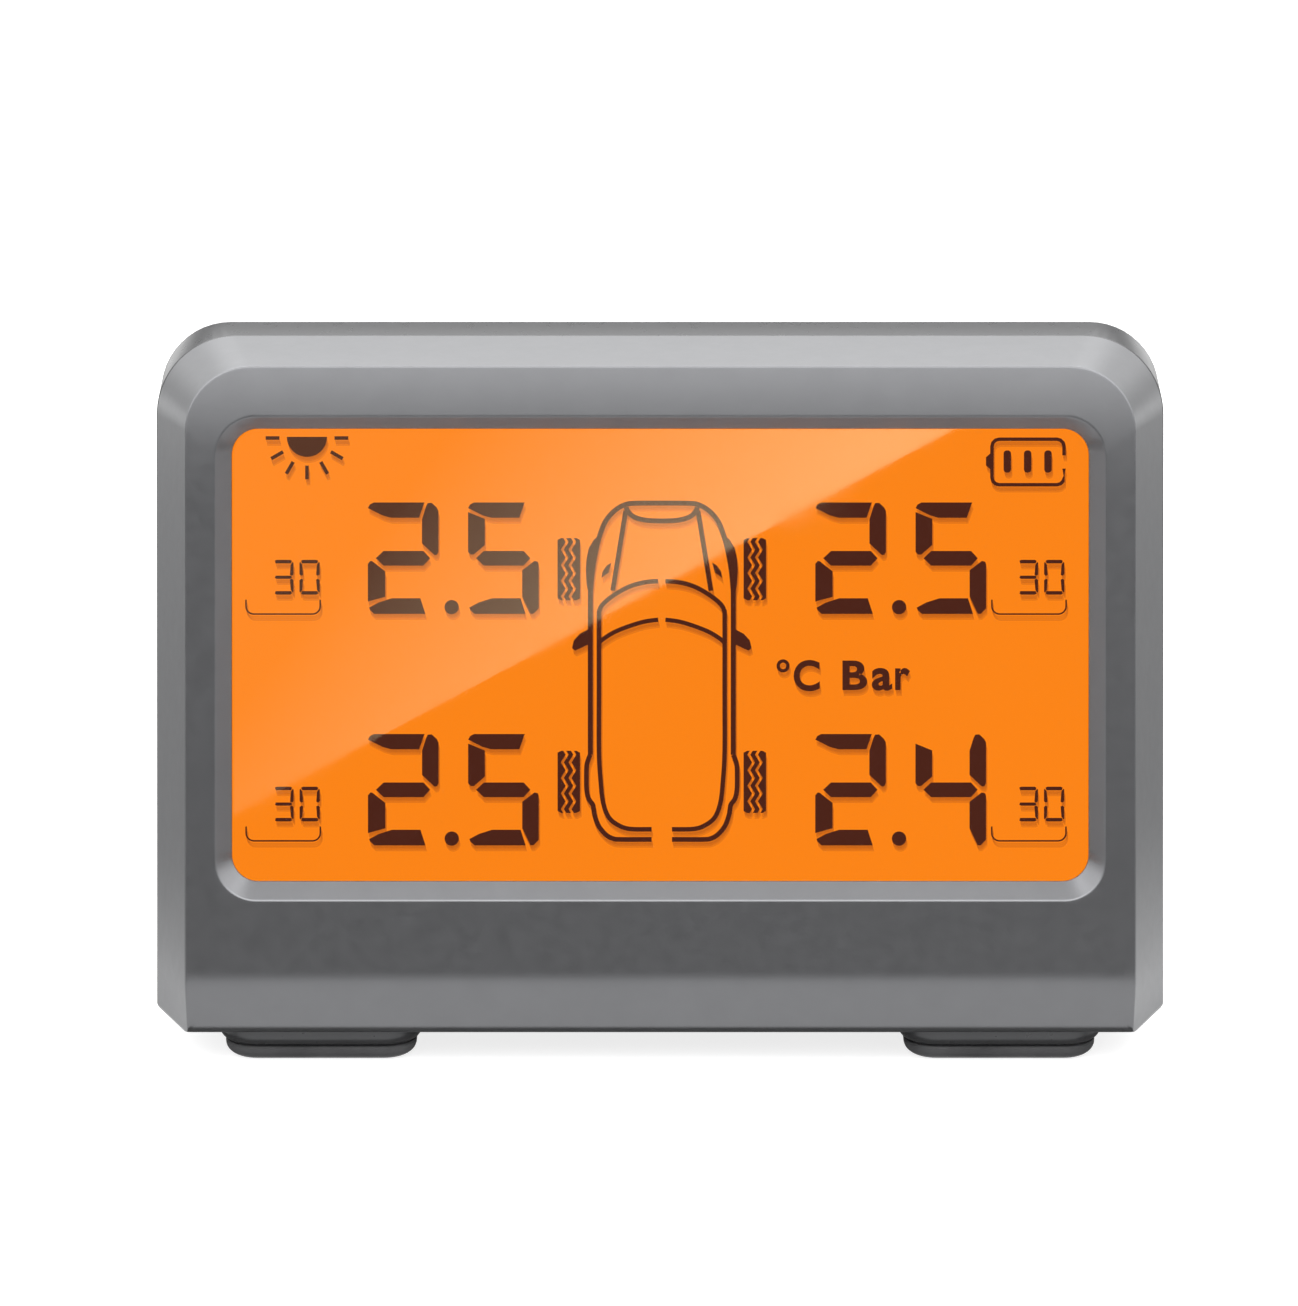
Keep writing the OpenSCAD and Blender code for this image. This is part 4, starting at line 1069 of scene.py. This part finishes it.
# How bright the surroundings are by height, which is the sine of the angle above level: ahead of the
# object, and elsewhere in its middle plane and at its sides. The bright bands stand for big lamps.
height = sep.outputs["Z"]
ahead = world_ramp(height, [(0.0, 0.45), (0.05, 0.2), (0.22, 0.1), (0.36, 0.12), (0.5, 2.7), (0.68, 2.6),
                            (0.78, 4.6)])
around = world_ramp(height, [(0.0, 2.4), (0.11, 1.4), (0.18, 0.1), (0.34, 0.08), (0.43, 2.4), (0.55, 3.3),
                             (0.82, 6.0), (0.93, 1.8), (0.97, 1.1)])
sides = world_ramp(height, [(0.0, 0.6), (0.16, 1.0), (0.3, 1.7), (0.45, 2.3), (0.8, 3.0), (0.97, 1.3)])
sideways = world_ramp(world_math("ABSOLUTE", sep.outputs["X"], 0.0), [(0.3, 0.0), (0.5, 1.0)])
forwards = world_ramp(world_math("MULTIPLY", sep.outputs["Y"], -1.0), [(0.2, 0.0), (0.75, 1.0)])
lit = world_mix(forwards, world_mix(sideways, around, sides), ahead)
# what the camera sees of it is plain white
seen = wt.nodes.new("ShaderNodeLightPath")
wt.links.new(world_mix(seen.outputs["Is Camera Ray"], lit, (1, 1, 1, 1)), bg.inputs["Color"])
bg.inputs["Strength"].default_value = 1.0


def softbox(name, where, at, size, power):
    """A rectangular lamp that points at a place."""
    data = bpy.data.lights.new(name, "AREA")
    data.shape, data.size, data.size_y, data.energy = "RECTANGLE", size[0], size[1], power
    ob = bpy.data.objects.new(name, data)
    bpy.context.scene.collection.objects.link(ob)
    ob.location = where
    ob.rotation_mode = "QUATERNION"
    ob.rotation_quaternion = (Vector(at) - Vector(where)).to_track_quat("-Z", "Y")
    ob.visible_camera = False
    return ob


softbox("overhead", (0, 0.0, 0.9), (0, 0.0, 0.03), (1.2, 0.6), 1.7)
softbox("left", (-0.9, 0.1, 0.45), (0, 0, 0.03), (0.6, 0.6), 0.5)
softbox("right", (0.9, 0.1, 0.45), (0, 0, 0.03), (0.6, 0.6), 0.5)

# The camera is straight ahead of the object and above it. The shift moves it across and up its picture.
AIM, ELEVATION, DISTANCE, LENS = (0.0, 0.0, 0.029), rad(15.58), 0.54, 173.3
SHIFT_RIGHT, SHIFT_UP = -0.00094, 0.00046
cam_data = bpy.data.cameras.new("camera")
cam_data.sensor_width, cam_data.lens = 36.0, LENS
cam = bpy.data.objects.new("camera", cam_data)
bpy.context.scene.collection.objects.link(cam)
back = Vector((0, -math.cos(ELEVATION), math.sin(ELEVATION)))
right = Vector((1, 0, 0))
up = back.cross(right)
cam.location = Vector(AIM) + back * DISTANCE + right * SHIFT_RIGHT + up * SHIFT_UP
cam.rotation_mode = "QUATERNION"
cam.rotation_quaternion = (-back).to_track_quat("-Z", "Y")
cam_data.clip_start, cam_data.clip_end = 0.01, 20.0
bpy.context.scene.camera = cam
bpy.context.scene.view_settings.view_transform = "Standard"
